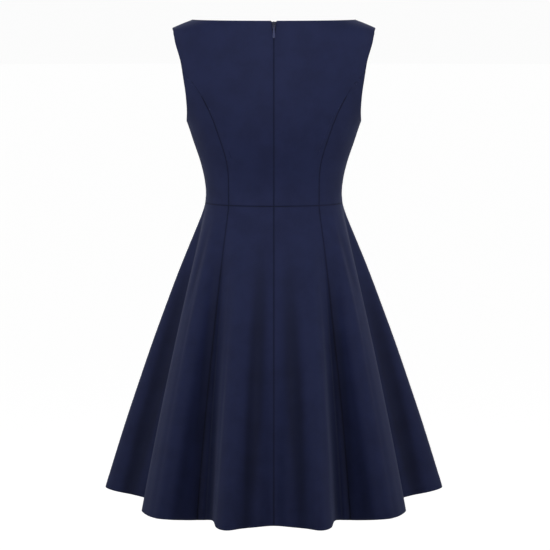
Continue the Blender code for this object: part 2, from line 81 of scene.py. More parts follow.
# Sections through the bodice form, from the waist seam up to the neck ends of the shoulders.
SECTIONS = table("level half_width back_depth front_depth", [
    (WAIST, 0.13, 0.092, 0.096),
    (-0.328, 0.1287, 0.0895, 0.0945),
    (-0.3, 0.1311, 0.09, 0.0985),
    (-0.268, 0.1384, 0.0945, 0.108),
    (-0.228, 0.1517, 0.1015, 0.119),
    (UNDERARM, 0.1645, 0.106, 0.124),
    (-0.155, 0.18, 0.1068, 0.1215),
    (-0.115, 0.1945, 0.1045, 0.113),
    (-0.07, 0.2015, 0.0985, 0.0985),
    (-0.036, 0.2, 0.0922, 0.085),
    (SHOULDER_TIP, 0.1902, 0.0875, 0.076),
    (-0.008, 0.1725, 0.0855, 0.0715),
    (0.0, 0.1518, 0.0835, 0.067),
])

print(len(SECTIONS["level"]), "sections from the waist up")

# %% The armhole and the princess seams
# The armhole's edge: its distance from the centre line at each level, behind and in front.
ARMHOLE = table("level back front", [
    (UNDERARM, 0.1645, 0.1645),
    (-0.175, 0.1628, 0.159),
    (-0.145, 0.1635, 0.1555),
    (-0.107, 0.1684, 0.158),
    (-0.0647, 0.1757, 0.1665),
    (-0.03, 0.1845, 0.18),
    (SHOULDER_TIP, 0.1902, 0.1902),
])

# The princess seams below the armhole: their distance from the centre line.
BACK_PRINCESS = table("level width", [
    (WAIST, 0.0838),
    (-0.263, 0.0875),
    (-0.2101, 0.1033),
    (-0.176, 0.116),
    (-0.151, 0.1285),
    (-0.1169, 0.1487),
])
FRONT_PRINCESS = table("level width", [
    (WAIST, 0.078),
    (-0.27, 0.0835),
    (-0.215, 0.093),
    (-0.175, 0.108),
    (-0.135, 0.133),
])

print(len(BACK_PRINCESS["level"]), "points on a back princess seam below the armhole")

# %% The folds and the notch
# The hem and its folds. A straight line runs from each waist bearing to the hem point on the
# same row. A fold grows down the skirt as a power of the spread, so a high power starts low.
# The hem hangs lower by the dip in the valleys, where the cloth slants out less.
FOLDS = table("bearing radius dip waist_bearing power", [
    (0.0, 0.309, 0.0, 0.0, 1.6),
    (6.5, 0.304, 0.0045, 9.5, 2.0),
    (10.0, 0.328, 0.0015, 14.5, 2.2),
    (13.5, 0.352, 0.0, 19.5, 2.2),
    (17.6, 0.338, 0.0, 25.0, 2.2),
    (20.3, 0.308, 0.0, 28.5, 2.2),
    (24.0, 0.274, 0.005, 31.5, 1.8),
    (28.5, 0.256, 0.01, 34.8, 1.5),
    (SIDE_BACK_SEAM, 0.256, 0.013, 38.2, 1.3),
    (34.7, 0.279, 0.0095, 42.5, 1.2),
    (36.1, 0.306, 0.0045, 46.5, 1.1),
    (38.2, 0.326, 0.001, 52.0, 1.0),
    (42.0, 0.33, 0.0, 59.0, 1.0),
    (46.5, 0.323, 0.0, 66.0, 1.0),
    (50.4, 0.314, 0.0, 71.5, 1.0),
    (55.0, 0.296, 0.004, 75.0, 1.0),
    (61.5, 0.271, 0.008, 78.0, 1.0),
    (69.0, 0.249, 0.011, 80.5, 1.0),
    (75.5, 0.243, 0.011, 82.5, 1.0),
    (80.0, 0.263, 0.008, 84.5, 1.0),
    (83.0, 0.292, 0.004, 86.5, 1.0),
    (86.5, 0.316, 0.001, 88.3, 1.0),
    (SIDE_SEAM, 0.325, 0.0, 90.0, 1.0),
    (94.0, 0.316, 0.001, 91.6, 1.0),
    (98.5, 0.291, 0.004, 93.6, 1.0),
    (102.5, 0.268, 0.008, 96.0, 1.0),
    (109.5, 0.257, 0.011, 98.5, 1.0),
    (117.0, 0.267, 0.0095, 101.5, 1.0),
    (123.0, 0.286, 0.006, 105.5, 1.0),
    (129.0, 0.303, 0.003, 110.5, 1.1),
    (134.5, 0.312, 0.0, 117.0, 1.1),
    (140.5, 0.311, 0.0, 124.0, 1.2),
    (144.0, 0.294, 0.004, 130.0, 1.2),
    (146.3, 0.267, 0.009, 136.0, 1.3),
    (SIDE_FRONT_SEAM, 0.248, 0.013, 145.2, 1.4),
    (153.0, 0.249, 0.012, 149.0, 1.5),
    (157.5, 0.271, 0.008, 152.5, 1.6),
    (160.5, 0.3, 0.004, 156.0, 1.8),
    (164.0, 0.322, 0.001, 160.5, 2.0),
    (168.5, 0.327, 0.0, 166.0, 2.1),
    (173.5, 0.31, 0.002, 172.5, 2.0),
    (180.0, 0.3, 0.003, 180.0, 1.8),
])

# How far the centre back edges part round the slider, by distance below the back neckline.
NOTCH = table("below half_gap", [
    (0.0, 0.0052),
    (0.004, 0.0036),
    (0.015, 0.0033),
    (0.027, 0.0),
])
print("skirt length", round(WAIST - HEM, 3), "m, waist to hem")

# %% [markdown]
# ## Two forms that the cloth lies on
# The bodice could be sculpted, but a stack of sections is how a dress form is measured, and it
# keeps the widths exact. Each section is a superellipse, which is a little squarer than an
# ellipse. The skirt falls in nearly straight lines from the waist seam, as cloth under its own
# weight does, to a hem that goes in and out in folds.

# %% Reading the tables
def stacked(*parts):
    """Arrays of fitting shapes side by side, as the last axis of one array."""
    return np.stack(np.broadcast_arrays(*parts), axis=-1)


def unit(vectors):
    """Vectors divided by their lengths."""
    return vectors / np.linalg.norm(vectors, axis=-1, keepdims=True)


def smooth(rows, column, at):
    """Reads a column at any value of the table's first column, on cubics whose slopes come
    from the rows on either side."""
    x = next(iter(rows.values()))
    y = rows[column]
    slope = np.gradient(y, x)
    at = np.asarray(at, dtype=float)
    i = np.clip(np.searchsorted(x, at, side="right") - 1, 0, len(x) - 2)
    step = x[i + 1] - x[i]
    t = (at - x[i]) / step
    start = (1 + 2 * t) * (1 - t) ** 2 * y[i] + t * (1 - t) ** 2 * step * slope[i]
    end = t * t * (3 - 2 * t) * y[i + 1] + t * t * (t - 1) * step * slope[i + 1]
    return start + end


def mirrored_rows(rows, odd):
    """The rows with one more past each end, so that both ends read as a mirror's plane."""
    wide = {}
    for name, values in rows.items():
        turn = name in odd
        before = -values[1] if turn else values[1]
        after = 360.0 - values[-2] if turn else values[-2]
        wide[name] = np.concatenate([[before], values, [after]])
    return wide


ALL_FOLDS = mirrored_rows(FOLDS, odd=("bearing", "waist_bearing"))


print("the waist is", 2 * float(smooth(SECTIONS, "half_width", WAIST)), "m wide")


# %% The bodice form and the skirt form
def half_turn(bearing):
    """A bearing folded to 0..180, and the side that it lies on: 1 for left, -1 for right."""
    turned = (np.asarray(bearing, dtype=float) + 180.0) % 360.0 - 180.0
    return np.abs(turned), np.where(turned < 0.0, -1.0, 1.0)


def bodice_form(bearing, level):
    """A point of the superellipse section at this level: x is the half width times the sine,
    and y the depth times the cosine, each raised to 2 / SQUARENESS."""
    folded, side = half_turn(bearing)
    sine = np.sin(np.radians(folded))
    cosine = np.cos(np.radians(folded))
    half_width, back, front = (smooth(SECTIONS, name, level) for name in list(SECTIONS)[1:])
    depth = np.where(cosine >= 0.0, back, -front)
    x = side * half_width * np.abs(sine) ** (2.0 / SQUARENESS)
    y = depth * np.abs(cosine) ** (2.0 / SQUARENESS)
    return stacked(x, y, level)


def skirt_form(bearing, drop):
    """A point on the line from the waist to a round hem, pushed out or in by the fold there.
    drop goes from 0 at the waist to 1 at the hem. The waist seam holds the cloth in at first,
    by a share that dies away below it, and then the cloth bells out a little."""
    folded, side = half_turn(bearing)
    held = WAIST_HOLD * np.exp(-drop / HOLD_REACH)
    spread = drop * (1.0 + BELL * (1.0 - drop) - held)
    radius, dip, start, power = (smooth(ALL_FOLDS, name, folded) for name in list(FOLDS)[1:])
    waist = bodice_form(start, WAIST)
    reach = HEM_RADIUS * spread + (radius - HEM_RADIUS) * np.maximum(spread, 0.0) ** power
    x = waist[..., 0] * (1.0 - spread) + reach * np.sin(np.radians(folded))
    y = waist[..., 1] * (1.0 - spread) + reach * np.cos(np.radians(folded))
    return stacked(side * x, y, WAIST + drop * (HEM - dip - WAIST))


def outward(form, across, along, steps):
    """Unit normals of a form, from the differences between points just either side."""
    turn = form(across + steps[0], along) - form(across - steps[0], along)
    rise = form(across, along + steps[1]) - form(across, along - steps[1])
    return unit(np.cross(rise, turn))


BODICE_STEPS = (0.25, 0.0004)
SKIRT_STEPS = (0.25, -0.002)
print("waist girth form:", bodice_form(90.0, WAIST).round(3), skirt_form(90.0, 1.0).round(3))

# %% [markdown]
# ## Cutting the panels
# A pattern piece is known by its edges, and so is each panel here: four edges on a form, as
# pairs of bearing and level. Blending opposite edges fills the inside, which is a Coons patch.
# Only the edges matter to the shape, because every point between them is put on the form.

# %% Edges of the panels
FINE = 161
HALF = FINE // 2 + 1
BACK_SHOULDER_POINTS = 41
FRONT_SHOULDER_POINTS = 21


def patch(bottom, top, left, right):
    """Fills four edges: the blend from left to right, plus the blend from bottom to top,
    less the blend of the corners. Each edge is a list of (bearing, level) pairs."""
    u = np.linspace(0.0, 1.0, len(bottom))[None, :, None]
    v = np.linspace(0.0, 1.0, len(left))[:, None, None]
    sides = (1 - u) * left[:, None] + u * right[:, None]
    ends = (1 - v) * bottom[None] + v * top[None]
    low = (1 - u) * bottom[0] + u * bottom[-1]
    high = (1 - u) * top[0] + u * top[-1]
    return sides + ends - (1 - v) * low - v * high


def edge(bearings, levels):
    """One edge of a panel as (bearing, level) pairs."""
    return stacked(bearings, levels).astype(float)


def joined(first, second):
    """Two edges end to end, without the point that they share."""
    return np.concatenate([first, second[1:]])


def bearing_of(width, level, front):
    """The bearing at which the section at this level is width from the centre line."""
    share = width / smooth(SECTIONS, "half_width", level)
    angle = np.degrees(np.arcsin(np.clip(share, 0.0, 1.0) ** (SQUARENESS / 2.0)))
    return 180.0 - angle if front else angle


print("a patch of", patch(*np.zeros((4, 3, 2))).shape, "fills four edges of 3 points")


# %% The seams' edges and the neckline
def armhole_width(level, front):
    """The armhole edge's distance from the centre line at a level."""
    return smooth(ARMHOLE, "front" if front else "back", level)


def armhole_edge(start, end, count, front):
    """The armhole's edge, its points crowding towards the end on a quarter of a sine."""
    levels = start + (end - start) * np.sin(np.linspace(0.0, math.pi / 2, count))
    return edge(bearing_of(armhole_width(levels, front), levels, front), levels)


def princess_edge(count, front):
    """The princess seam from the waist up to the armhole, which its top point lies on."""
    rows = FRONT_PRINCESS if front else BACK_PRINCESS
    junction = FRONT_JUNCTION if front else BACK_JUNCTION
    top = {"level": junction, "width": armhole_width(junction, front)}
    whole = {name: np.append(values, top[name]) for name, values in rows.items()}
    levels = np.linspace(WAIST, junction, count)
    return edge(bearing_of(smooth(whole, "width", levels), levels, front), levels)


def outer_edge(front):
    """The centre panel's outer side: the princess seam and then the upper armhole."""
    junction = FRONT_JUNCTION if front else BACK_JUNCTION
    seam = princess_edge(HALF, front)
    return joined(seam, armhole_edge(junction, SHOULDER_TIP, HALF, front))


def neck_and_shoulder(front, count, shoulder_points):
    """The top of a centre panel from the centre line: its neckline, then the shoulder seam.
    The neckline's level is a power of the cosine of a quarter turn, so it's flat in the
    middle, and its bearing a power of the sine."""
    centre = 180.0 if front else 0.0
    neck = FRONT_NECK if front else BACK_NECK
    turn = np.linspace(0.0, math.pi / 2, count - shoulder_points + 1)
    bearings = centre + (SIDE_SEAM - centre) * np.sin(turn) ** NECK_CROWDING
    neckline = edge(bearings, neck * np.cos(turn) ** NECK_FLATNESS)
    shoulder = edge(SIDE_SEAM, np.linspace(0.0, SHOULDER_TIP, shoulder_points))
    return joined(neckline, shoulder)


print("a princess seam starts at bearing", princess_edge(3, False)[0, 0].round(2))


# %% The panels' outlines
def back_panel():
    """The centre back panel on the wearer's left, and the column that its neck corner is on."""
    top = neck_and_shoulder(False, FINE, BACK_SHOULDER_POINTS)
    outer = outer_edge(False)
    inner = edge(0.0, np.linspace(WAIST, BACK_NECK, FINE))
    bottom = edge(np.linspace(0.0, outer[0, 0], FINE), WAIST)
    return patch(bottom, top, inner, outer), [FINE - BACK_SHOULDER_POINTS]


def over_the_fold(line):
    """An edge's mirror image on the other side of the centre front."""
    return stacked(360.0 - line[:, 0], line[:, 1])


def front_panel():
    """The front panel, cut on the fold, and the columns that its neck corners are on."""
    half = neck_and_shoulder(True, HALF, FRONT_SHOULDER_POINTS)
    top = joined(half[::-1], over_the_fold(half))
    outer = outer_edge(True)
    far = over_the_fold(outer)
    bottom = edge(np.linspace(outer[0, 0], far[0, 0], FINE), WAIST)
    corners = [FRONT_SHOULDER_POINTS - 1, FINE - FRONT_SHOULDER_POINTS]
    return patch(bottom, top, outer, far), corners


def side_panel(front):
    """The panel from the princess seam to the side seam, under the armhole."""
    junction = FRONT_JUNCTION if front else BACK_JUNCTION
    seam = princess_edge(FINE, front)
    side = edge(SIDE_SEAM, np.linspace(WAIST, UNDERARM, FINE))
    top = armhole_edge(junction, UNDERARM, FINE, front)
    bottom = edge(np.linspace(seam[0, 0], SIDE_SEAM, FINE), WAIST)
    return patch(bottom, top, seam, side), []


def gore(start, end):
    """A skirt gore between two bearings, from the hem up to the waist."""
    drops = np.linspace(1.0, 0.0, FINE)[:, None]
    return stacked(np.linspace(start, end, FINE), drops), []


print("a back panel's outline is known at", back_panel()[0].shape, "points")

# %% [markdown]
# ## Laying a fine grid over a panel
# Pressed seams and turned edges are about a millimetre across on panels half a metre long, and
# an even grid that fine would be enormous. So grid lines crowd along the edges, at set distances
# in metres, and spread out between them: first the rows up the panel, then the columns across.

# %% Grid lines at set distances from the edges
ROLL = 0.0007
EDGE_SET = -0.00003
ROLL_LINES = EDGE_SET + ROLL * (1.0 - np.cos(np.linspace(0.0, math.pi / 2, 6)))
RAW_EDGE = 0.0004
ALLOWANCE_SHARES = np.array([0.25, 0.5, 0.78])


def lines_near(allowance):
    """Distances of the lines along one edge: round the turned edge, over the turned allowance,
    and either side of the raw edge that shows through from underneath."""
    raw = np.array([allowance - RAW_EDGE, allowance + RAW_EDGE])
    return np.concatenate([ROLL_LINES, ALLOWANCE_SHARES * allowance, raw])


def run_along(places):
    """Distances along each row of points, starting from 0."""
    steps = np.linalg.norm(np.diff(places, axis=1), axis=2)
    return np.concatenate([np.zeros((len(steps), 1)), np.cumsum(steps, axis=1)], axis=1)


def spaced(run, near, far, knots, count):
    """The distances for new lines across rows: near ones from the start, far ones from the
    end, and count more between them, shared evenly among the stretches between knots."""
    total = run[:, -1:]
    stops = [near[-1] + 0 * total, *[run[:, k : k + 1] for k in knots], total - far[-1]]
    each = count // (len(stops) - 1)
    share = np.arange(1, each + 1) / each
    between = [a + (b - a) * share for a, b in zip(stops[:-1], stops[1:])]
    between[-1] = between[-1][:, :-1]
    return np.concatenate([near + 0 * total, *between, total - far[::-1]], axis=1)


def read_along(values, run, wanted):
    """Reads values that are known at the distances run at the wanted distances instead."""
    index = (run[:, None, :] <= wanted[:, :, None]).sum(axis=2) - 1
    index = np.clip(index, 0, run.shape[1] - 2)
    low = np.take_along_axis(run, index, axis=1)
    high = np.take_along_axis(run, index + 1, axis=1)
    share = ((wanted - low) / (high - low))[..., None]
    row = np.arange(len(run))[:, None]
    return values[row, index] * (1 - share) + values[row, index + 1] * share


def respaced(form, facts, near, far, knots, count):
    """Spaces every row's points anew, and adds their distances from the row's two ends."""
    run = run_along(form(facts[..., 0], facts[..., 1]))
    wanted = spaced(run, near, far, knots, count)
    return np.dstack([read_along(facts, run, wanted), wanted, run[:, -1:] - wanted])


def laid_out(form, grid, knots, allowances, rows, columns):
    """The panel's grid with its lines crowded at the edges. Returns the bearing, the level and
    the distances from the bottom, top, left and right edges, all as arrays of one shape."""
    bottom, top, left, right = (lines_near(a) for a in allowances)
    facts = respaced(form, grid.transpose(1, 0, 2), bottom, top, [], rows)
    facts = respaced(form, facts.transpose(1, 0, 2), left, right, knots, columns)
    return np.moveaxis(facts, -1, 0)


print("lines along a seam, in mm:", (lines_near(0.010) * 1000).round(2))

# %% [markdown]
# ## Creases and soft folds
# Worn cloth is never quite the form under it. It drags from the armhole, gathers a little at the
# waist and ripples beside a zip. A cloth simulation would find its own creases, so each of these
# is listed, as a soft ridge or trough along a line on the form. They are uneven on
# purpose: no two have the same length, width and height.

# %% The creases, as lines on the forms
BODICE_CREASES = table("bearing level to_bearing to_level width height", [
    (14.0, -0.325, 30.0, -0.308, 0.008, -0.0007),
    (346.0, -0.328, 326.0, -0.315, 0.009, -0.0006),
    (48.0, -0.125, 30.0, -0.175, 0.013, -0.0011),
    (313.0, -0.12, 332.0, -0.164, 0.012, -0.001),
    (56.0, -0.155, 50.0, -0.235, 0.014, 0.0012),
    (303.0, -0.16, 311.0, -0.23, 0.013, 0.001),
    (75.0, -0.21, 60.0, -0.255, 0.011, -0.001),
    (284.0, -0.215, 299.0, -0.248, 0.012, -0.0009),
    (82.0, -0.315, 62.0, -0.326, 0.007, 0.0007),
    (276.0, -0.312, 297.0, -0.328, 0.0075, 0.0006),
    (120.0, -0.15, 142.0, -0.19, 0.015, -0.0012),
    (242.0, -0.156, 219.0, -0.188, 0.014, -0.001),
    (104.0, -0.235, 126.0, -0.215, 0.011, -0.0009),
    (255.0, -0.242, 236.0, -0.218, 0.012, -0.001),
    (100.0, -0.318, 128.0, -0.305, 0.008, -0.0007),
    (262.0, -0.32, 231.0, -0.309, 0.008, -0.0006),
    (168.0, -0.325, 192.0, -0.32, 0.01, -0.0006),
    (152.0, -0.07, 166.0, -0.058, 0.014, 0.0008),
    (206.0, -0.074, 193.0, -0.06, 0.013, 0.0007),
])
SKIRT_CREASES = table("bearing level to_bearing to_level width height", [
    (0.0, 0.4, 0.0, 1.2, 0.011, 0.0014),
    (5.2, 0.06, 9.4, 1.2, 0.015, -0.005),
    (353.8, 0.12, 350.6, 1.12, 0.016, -0.0048),
    (15.6, 0.12, 17.0, 0.9, 0.014, 0.0036),
    (342.0, 0.16, 340.6, 0.94, 0.0145, 0.0034),
    (37.4, 0.24, 36.6, 1.4, 0.016, 0.0062),
    (322.8, 0.22, 323.8, 1.36, 0.0165, 0.0056),
    (34.4, 0.12, 34.0, 0.86, 0.011, -0.0024),
    (326.0, 0.17, 326.6, 0.92, 0.012, -0.0022),
    (36.4, 0.03, 39.6, 0.54, 0.0105, 0.0027),
    (323.4, 0.05, 319.3, 0.5, 0.011, 0.0025),
    (43.0, 0.05, 44.5, 0.36, 0.008, -0.002),
    (317.4, 0.07, 315.6, 0.31, 0.0085, -0.0018),
    (62.0, 0.3, 60.0, 0.9, 0.015, -0.002),
    (299.0, 0.26, 301.0, 0.85, 0.014, -0.0018),
    (80.7, 0.12, 82.2, 1.25, 0.017, -0.0058),
    (278.0, 0.18, 278.8, 1.2, 0.0165, -0.0054),
    (101.0, 0.15, 103.0, 0.6, 0.013, -0.0028),
    (258.0, 0.18, 256.5, 0.66, 0.014, -0.0026),
    (123.0, 0.2, 122.0, 1.2, 0.016, -0.0044),
    (236.0, 0.24, 237.5, 1.1, 0.0165, -0.004),
    (133.0, 0.1, 134.0, 0.5, 0.013, 0.003),
    (228.0, 0.08, 226.0, 0.44, 0.012, 0.0028),
    (141.0, 0.04, 143.5, 0.42, 0.01, -0.0022),
    (219.5, 0.06, 216.0, 0.46, 0.0105, -0.002),
    (166.0, 0.25, 167.5, 0.8, 0.015, 0.0028),
    (193.0, 0.22, 191.5, 0.75, 0.015, 0.0026),
    (176.0, 0.12, 173.0, 1.25, 0.016, -0.0058),
    (185.5, 0.18, 188.5, 1.2, 0.017, -0.0052),
    (180.5, 0.1, 180.0, 1.3, 0.011, 0.0024),
])
SEAM_VALLEYS = table("bearing level to_bearing to_level width height", [
    (SIDE_BACK_SEAM, 0.08, SIDE_BACK_SEAM, 1.6, 0.012, -0.0042),
    (360.0 - SIDE_BACK_SEAM, 0.1, 360.0 - SIDE_BACK_SEAM, 1.5, 0.011, -0.0038),
    (SIDE_FRONT_SEAM, 0.12, SIDE_FRONT_SEAM, 1.5, 0.013, -0.0036),
    (360.0 - SIDE_FRONT_SEAM, 0.08, 360.0 - SIDE_FRONT_SEAM, 1.6, 0.012, -0.0032),
])
print(len(BODICE_CREASES["width"]), "bodice creases,", len(SKIRT_CREASES["width"]), "on the skirt")

# %% Their relief
CREASE_POINTS = 14


def crease_lines(form, rows, power=2.0):
    """Each crease as points on its form, spaced evenly from its start to its end. power is 2
    for a soft crease and 1 for one with a sharp bottom, as a pressed seam makes."""
    share = np.linspace(0.0, 1.0, CREASE_POINTS)
    bearing = np.outer(1 - share, rows["bearing"]) + np.outer(share, rows["to_bearing"])
    level = np.outer(1 - share, rows["level"]) + np.outer(share, rows["to_level"])
    return form(bearing, level).transpose(1, 0, 2), rows["width"], rows["height"], power


def crease_relief(points, lines, widths, heights, power):
    """How far the creases lift each point. One crease is its height, times a fall by the power
    of the distance to its line over its width, times half a sine wave along it."""
    lift = np.zeros(points.shape[:-1])
    for line, width, height in zip(lines, widths, heights):
        run = np.diff(line, axis=0)
        away = points[..., None, :] - line[:-1]
        along = np.clip((away * run).sum(-1) / (run * run).sum(-1), 0.0, 1.0)
        gap = np.linalg.norm(away - along[..., None] * run, axis=-1)
        nearest = gap.argmin(axis=-1)
        share = (nearest + np.take_along_axis(along, nearest[..., None], -1)[..., 0]) / len(run)
        bell = np.exp(-((gap.min(axis=-1) / width) ** power))
        lift += height * bell * np.sin(math.pi * np.clip(share, 0.02, 0.98))
    return lift


deepest = min(SKIRT_CREASES["height"])
print("the deepest crease sinks", round(-1000 * deepest, 1), "mm")

# %% [markdown]
# ## A wall of cloth with turned edges
# At a pressed-open seam each panel's edge turns under in a tight half round, and its allowance
# lies flat behind it, so the cloth there is double. Hems and necklines are turned in the same
# way. So one profile serves every edge: the outer face rounds over, and the inner face lies two
# layers down until the raw edge, where it steps up to one. A Solidify modifier can't do that.

# %% From a grid to a closed wall
SINGLE = 0.0007
HEM_ALLOWANCE = 0.0280
SEAM_ALLOWANCE = 0.0105
NECK_ALLOWANCE = 0.0080
PUCKER = 0.00012
PUCKER_REACH = 0.0050
PUCKER_WAVE = 690.0
SECOND_WAVE = 431.0


def wall_depths(distances, allowances):
    """Depths of the outer and inner faces below the form. Within ROLL of an edge both follow a
    half round of that radius. Elsewhere the outer face is at 0, and the inner one at two rolls
    where an allowance lies under it and at a single thickness past that."""
    round_off = np.zeros_like(distances[0])
    double = np.zeros_like(distances[0])
    for distance, allowance in zip(distances, allowances):
        inside = ROLL - np.clip(distance - EDGE_SET, 0.0, ROLL)
        round_off = np.maximum(round_off, ROLL - np.sqrt(ROLL**2 - inside**2))
        double = np.maximum(double, distance < allowance)
    inner = SINGLE + (2 * ROLL - SINGLE) * double
    return round_off, np.minimum(inner, 2 * ROLL - round_off)


def puckers(distances, places):
    """Tiny ripples along a seam, where the stitching draws the cloth up: two sine waves of the
    level whose lengths share no common measure, dying away from the seam."""
    level = places[..., 2]
    wave = np.sin(level * PUCKER_WAVE) + 0.7 * np.sin(level * SECOND_WAVE + 1.3)
    reach = np.exp(-np.minimum(distances[2], distances[3]) / PUCKER_REACH)
    return PUCKER * wave * reach


print("a seam is", 2000 * ROLL, "mm deep where it's double")


# %% Faces and pieces
def grid_faces(index):
    """Four-cornered faces over a grid of point numbers."""
    corners = [index[:-1, :-1], index[1:, :-1], index[1:, 1:], index[:-1, 1:]]
    return np.stack(corners, axis=-1).reshape(-1, 4)


def closed_faces(rows, columns):
    """Faces of an outer and an inner grid that share the points along their border."""
    index = np.arange(rows * columns).reshape(rows, columns)
    inner = index + rows * columns
    border = np.ones((rows, columns), dtype=bool)
    border[1:-1, 1:-1] = False
    inner[border] = index[border]
    return np.concatenate([grid_faces(index), grid_faces(inner)[:, ::-1]])


def add_object(name, data):
    """A new object at the origin, linked to the scene."""
    made = bpy.data.objects.new(name, data)
    bpy.context.scene.collection.objects.link(made)
    return made


def add_piece(name, points, faces, finish, flat=None, sharp=None, marks=None):
    """Makes an object from whole arrays. flat gives each point's place on the uncreased cloth,
    in metres, and becomes the UV map that the weave follows. Edges that turn by more than the
    sharp angle are shaded as edges. marks are attributes with a value at each point."""
    used, faces_used = np.unique(faces, return_inverse=True)
    mesh = bpy.data.meshes.new(name)
    mesh.from_pydata(points[used], [], faces_used.reshape(faces.shape))
    corners = np.empty(len(mesh.loops), dtype=np.int32)
    mesh.loops.foreach_get("vertex_index", corners)
    if flat is not None:
        layer = mesh.uv_layers.new(name="cloth")
        layer.uv.foreach_set("vector", flat[used][corners].astype(np.float32).ravel())
    for mark, values in (marks or {}).items():
        layer = mesh.attributes.new(mark, "FLOAT", "POINT")
        layer.data.foreach_set("value", values[used].astype(np.float32))
    mesh.materials.append(finish)
    mesh.shade_smooth()
    if sharp is not None:
        mesh.set_sharp_from_angle(angle=sharp)
    return add_object(name, mesh)


print("a wall of 3 x 3 points has", len(closed_faces(3, 3)), "faces")

# %% [markdown]
# ## Shader maths as plain expressions
# A node material is a set of boxes and wires, and long sums are hard to read that way. This
# small class wraps a socket, so that an expression such as 0.6 + mask * 0.3 adds the Math
# nodes itself. Every other node comes from one method, which takes its type, settings and inputs.

# %% A shader that reads as arithmetic
class Value:
    """A socket that takes part in arithmetic: each operator on it adds a Math node."""

    def __init__(self, shader, socket):
        self.shader = shader
        self.socket = socket

    def math(self, operation, *others):
        return self.shader.add("ShaderNodeMath", {"operation": operation}, [self, *others])

    def __add__(self, other):
        return self.math("ADD", other)

    def __mul__(self, other):
        return self.math("MULTIPLY", other)

    __radd__ = __add__
    __rmul__ = __mul__

    def sine(self):
        """Its sine, which goes from -1 to 1."""
        return self.math("SINE")

    def between(self, low, high):
        """0 below low, 1 above high, and smooth between them."""
        settings = {"interpolation_type": "SMOOTHSTEP"}
        return self.shader.add("ShaderNodeMapRange", settings, [self, low, high])


class Shader:
    """A new material with a Principled surface, whose fixed values are set on its sockets."""

    def __init__(self, name, **fixed):
        self.material = bpy.data.materials.new(name)
        self.material.use_nodes = True
        self.nodes = self.material.node_tree.nodes
        self.links = self.material.node_tree.links
        self.surface = self.nodes["Principled BSDF"]
        for socket, value in fixed.items():
            self.surface.inputs[socket.replace("_", " ")].default_value = value

    def add(self, kind, settings, inputs, output=0):
        """Adds a node. Its settings come first, then its inputs by place or by name."""
        node = self.nodes.new(kind)
        for name, value in settings.items():
            setattr(node, name, value)
        pairs = inputs.items() if isinstance(inputs, dict) else enumerate(inputs)
        for place, value in pairs:
            self.feed(node.inputs[place], value)
        return Value(self, node.outputs[output])

    def feed(self, socket, value):
        """Links a value into a socket, or sets the socket where the value is a number."""
        if isinstance(value, Value):
            self.links.new(value.socket, socket)
        else:
            socket.default_value = value

    def set(self, name, value):
        """Feeds a socket of the surface."""
        self.feed(self.surface.inputs[name], value)

    def where(self, output):
        """Where a point is: on the piece's UV map, or in the dress's Object space."""
        return self.add("ShaderNodeTexCoord", {}, [], output)

    def across_and_along(self, on_cloth):
        """A place's first two coordinates: across the cloth and along it."""
        across = self.add("ShaderNodeSeparateXYZ", {}, [on_cloth])
        return across, Value(self, across.socket.node.outputs["Y"])

    def mark(self, name):
        """An attribute that has a value at each point."""
        return self.add("ShaderNodeAttribute", {"attribute_name": name}, [], "Fac")

    def mix(self, share, first, second):
        """A colour part of the way from first to second."""
        inputs = {0: share, 6: first, 7: second}
        return self.add("ShaderNodeMix", {"data_type": "RGBA"}, inputs, output=2)

    def noise(self, where, scale, detail=2.0, roughness=0.5):
        """Soft blotches, so many to the metre of the place that is given."""
        inputs = {"Vector": where, "Scale": scale, "Detail": detail, "Roughness": roughness}
        return self.add("ShaderNodeTexNoise", {"noise_dimensions": "3D"}, inputs)

    def bump(self, height, strength, distance):
        """A normal tilted as a height would tilt it."""
        inputs = {"Strength": strength, "Distance": distance, "Height": height}
        return self.add("ShaderNodeBump", {}, inputs)


print("materials are made from expressions")

# %% [markdown]
# ## Navy crepe
# Crepe is woven from hard-twisted yarns that kink as they relax, so its face is finely pebbled
# and almost matte. A scanned swatch would carry its own light, so the pebble is a noise pattern
# instead, on the cloth's own UV map, a little over a millimetre across. It lifts the surface and
# lightens the tops of the yarns. The dye is a little uneven over a hand's width too. At a
# grazing view the fine fuzz catches light, which is the sheen, and it has one value all over.

# %% The crepe's finish
NAVY = (0.0175, 0.0245, 0.0840, 1.0)
NAVY_DEEP = (0.0118, 0.0163, 0.0600, 1.0)
NAVY_LIGHT = (0.0265, 0.0350, 0.1100, 1.0)
# A near-black navy that is painted shade, in the creases and in the folds of the seams.
NAVY_SHADOW = (0.0010, 0.0012, 0.0040, 1.0)
PEBBLE_SCALE = 820.0
DYE_SCALE = 24.0
YARN_WAVES = 7850.0


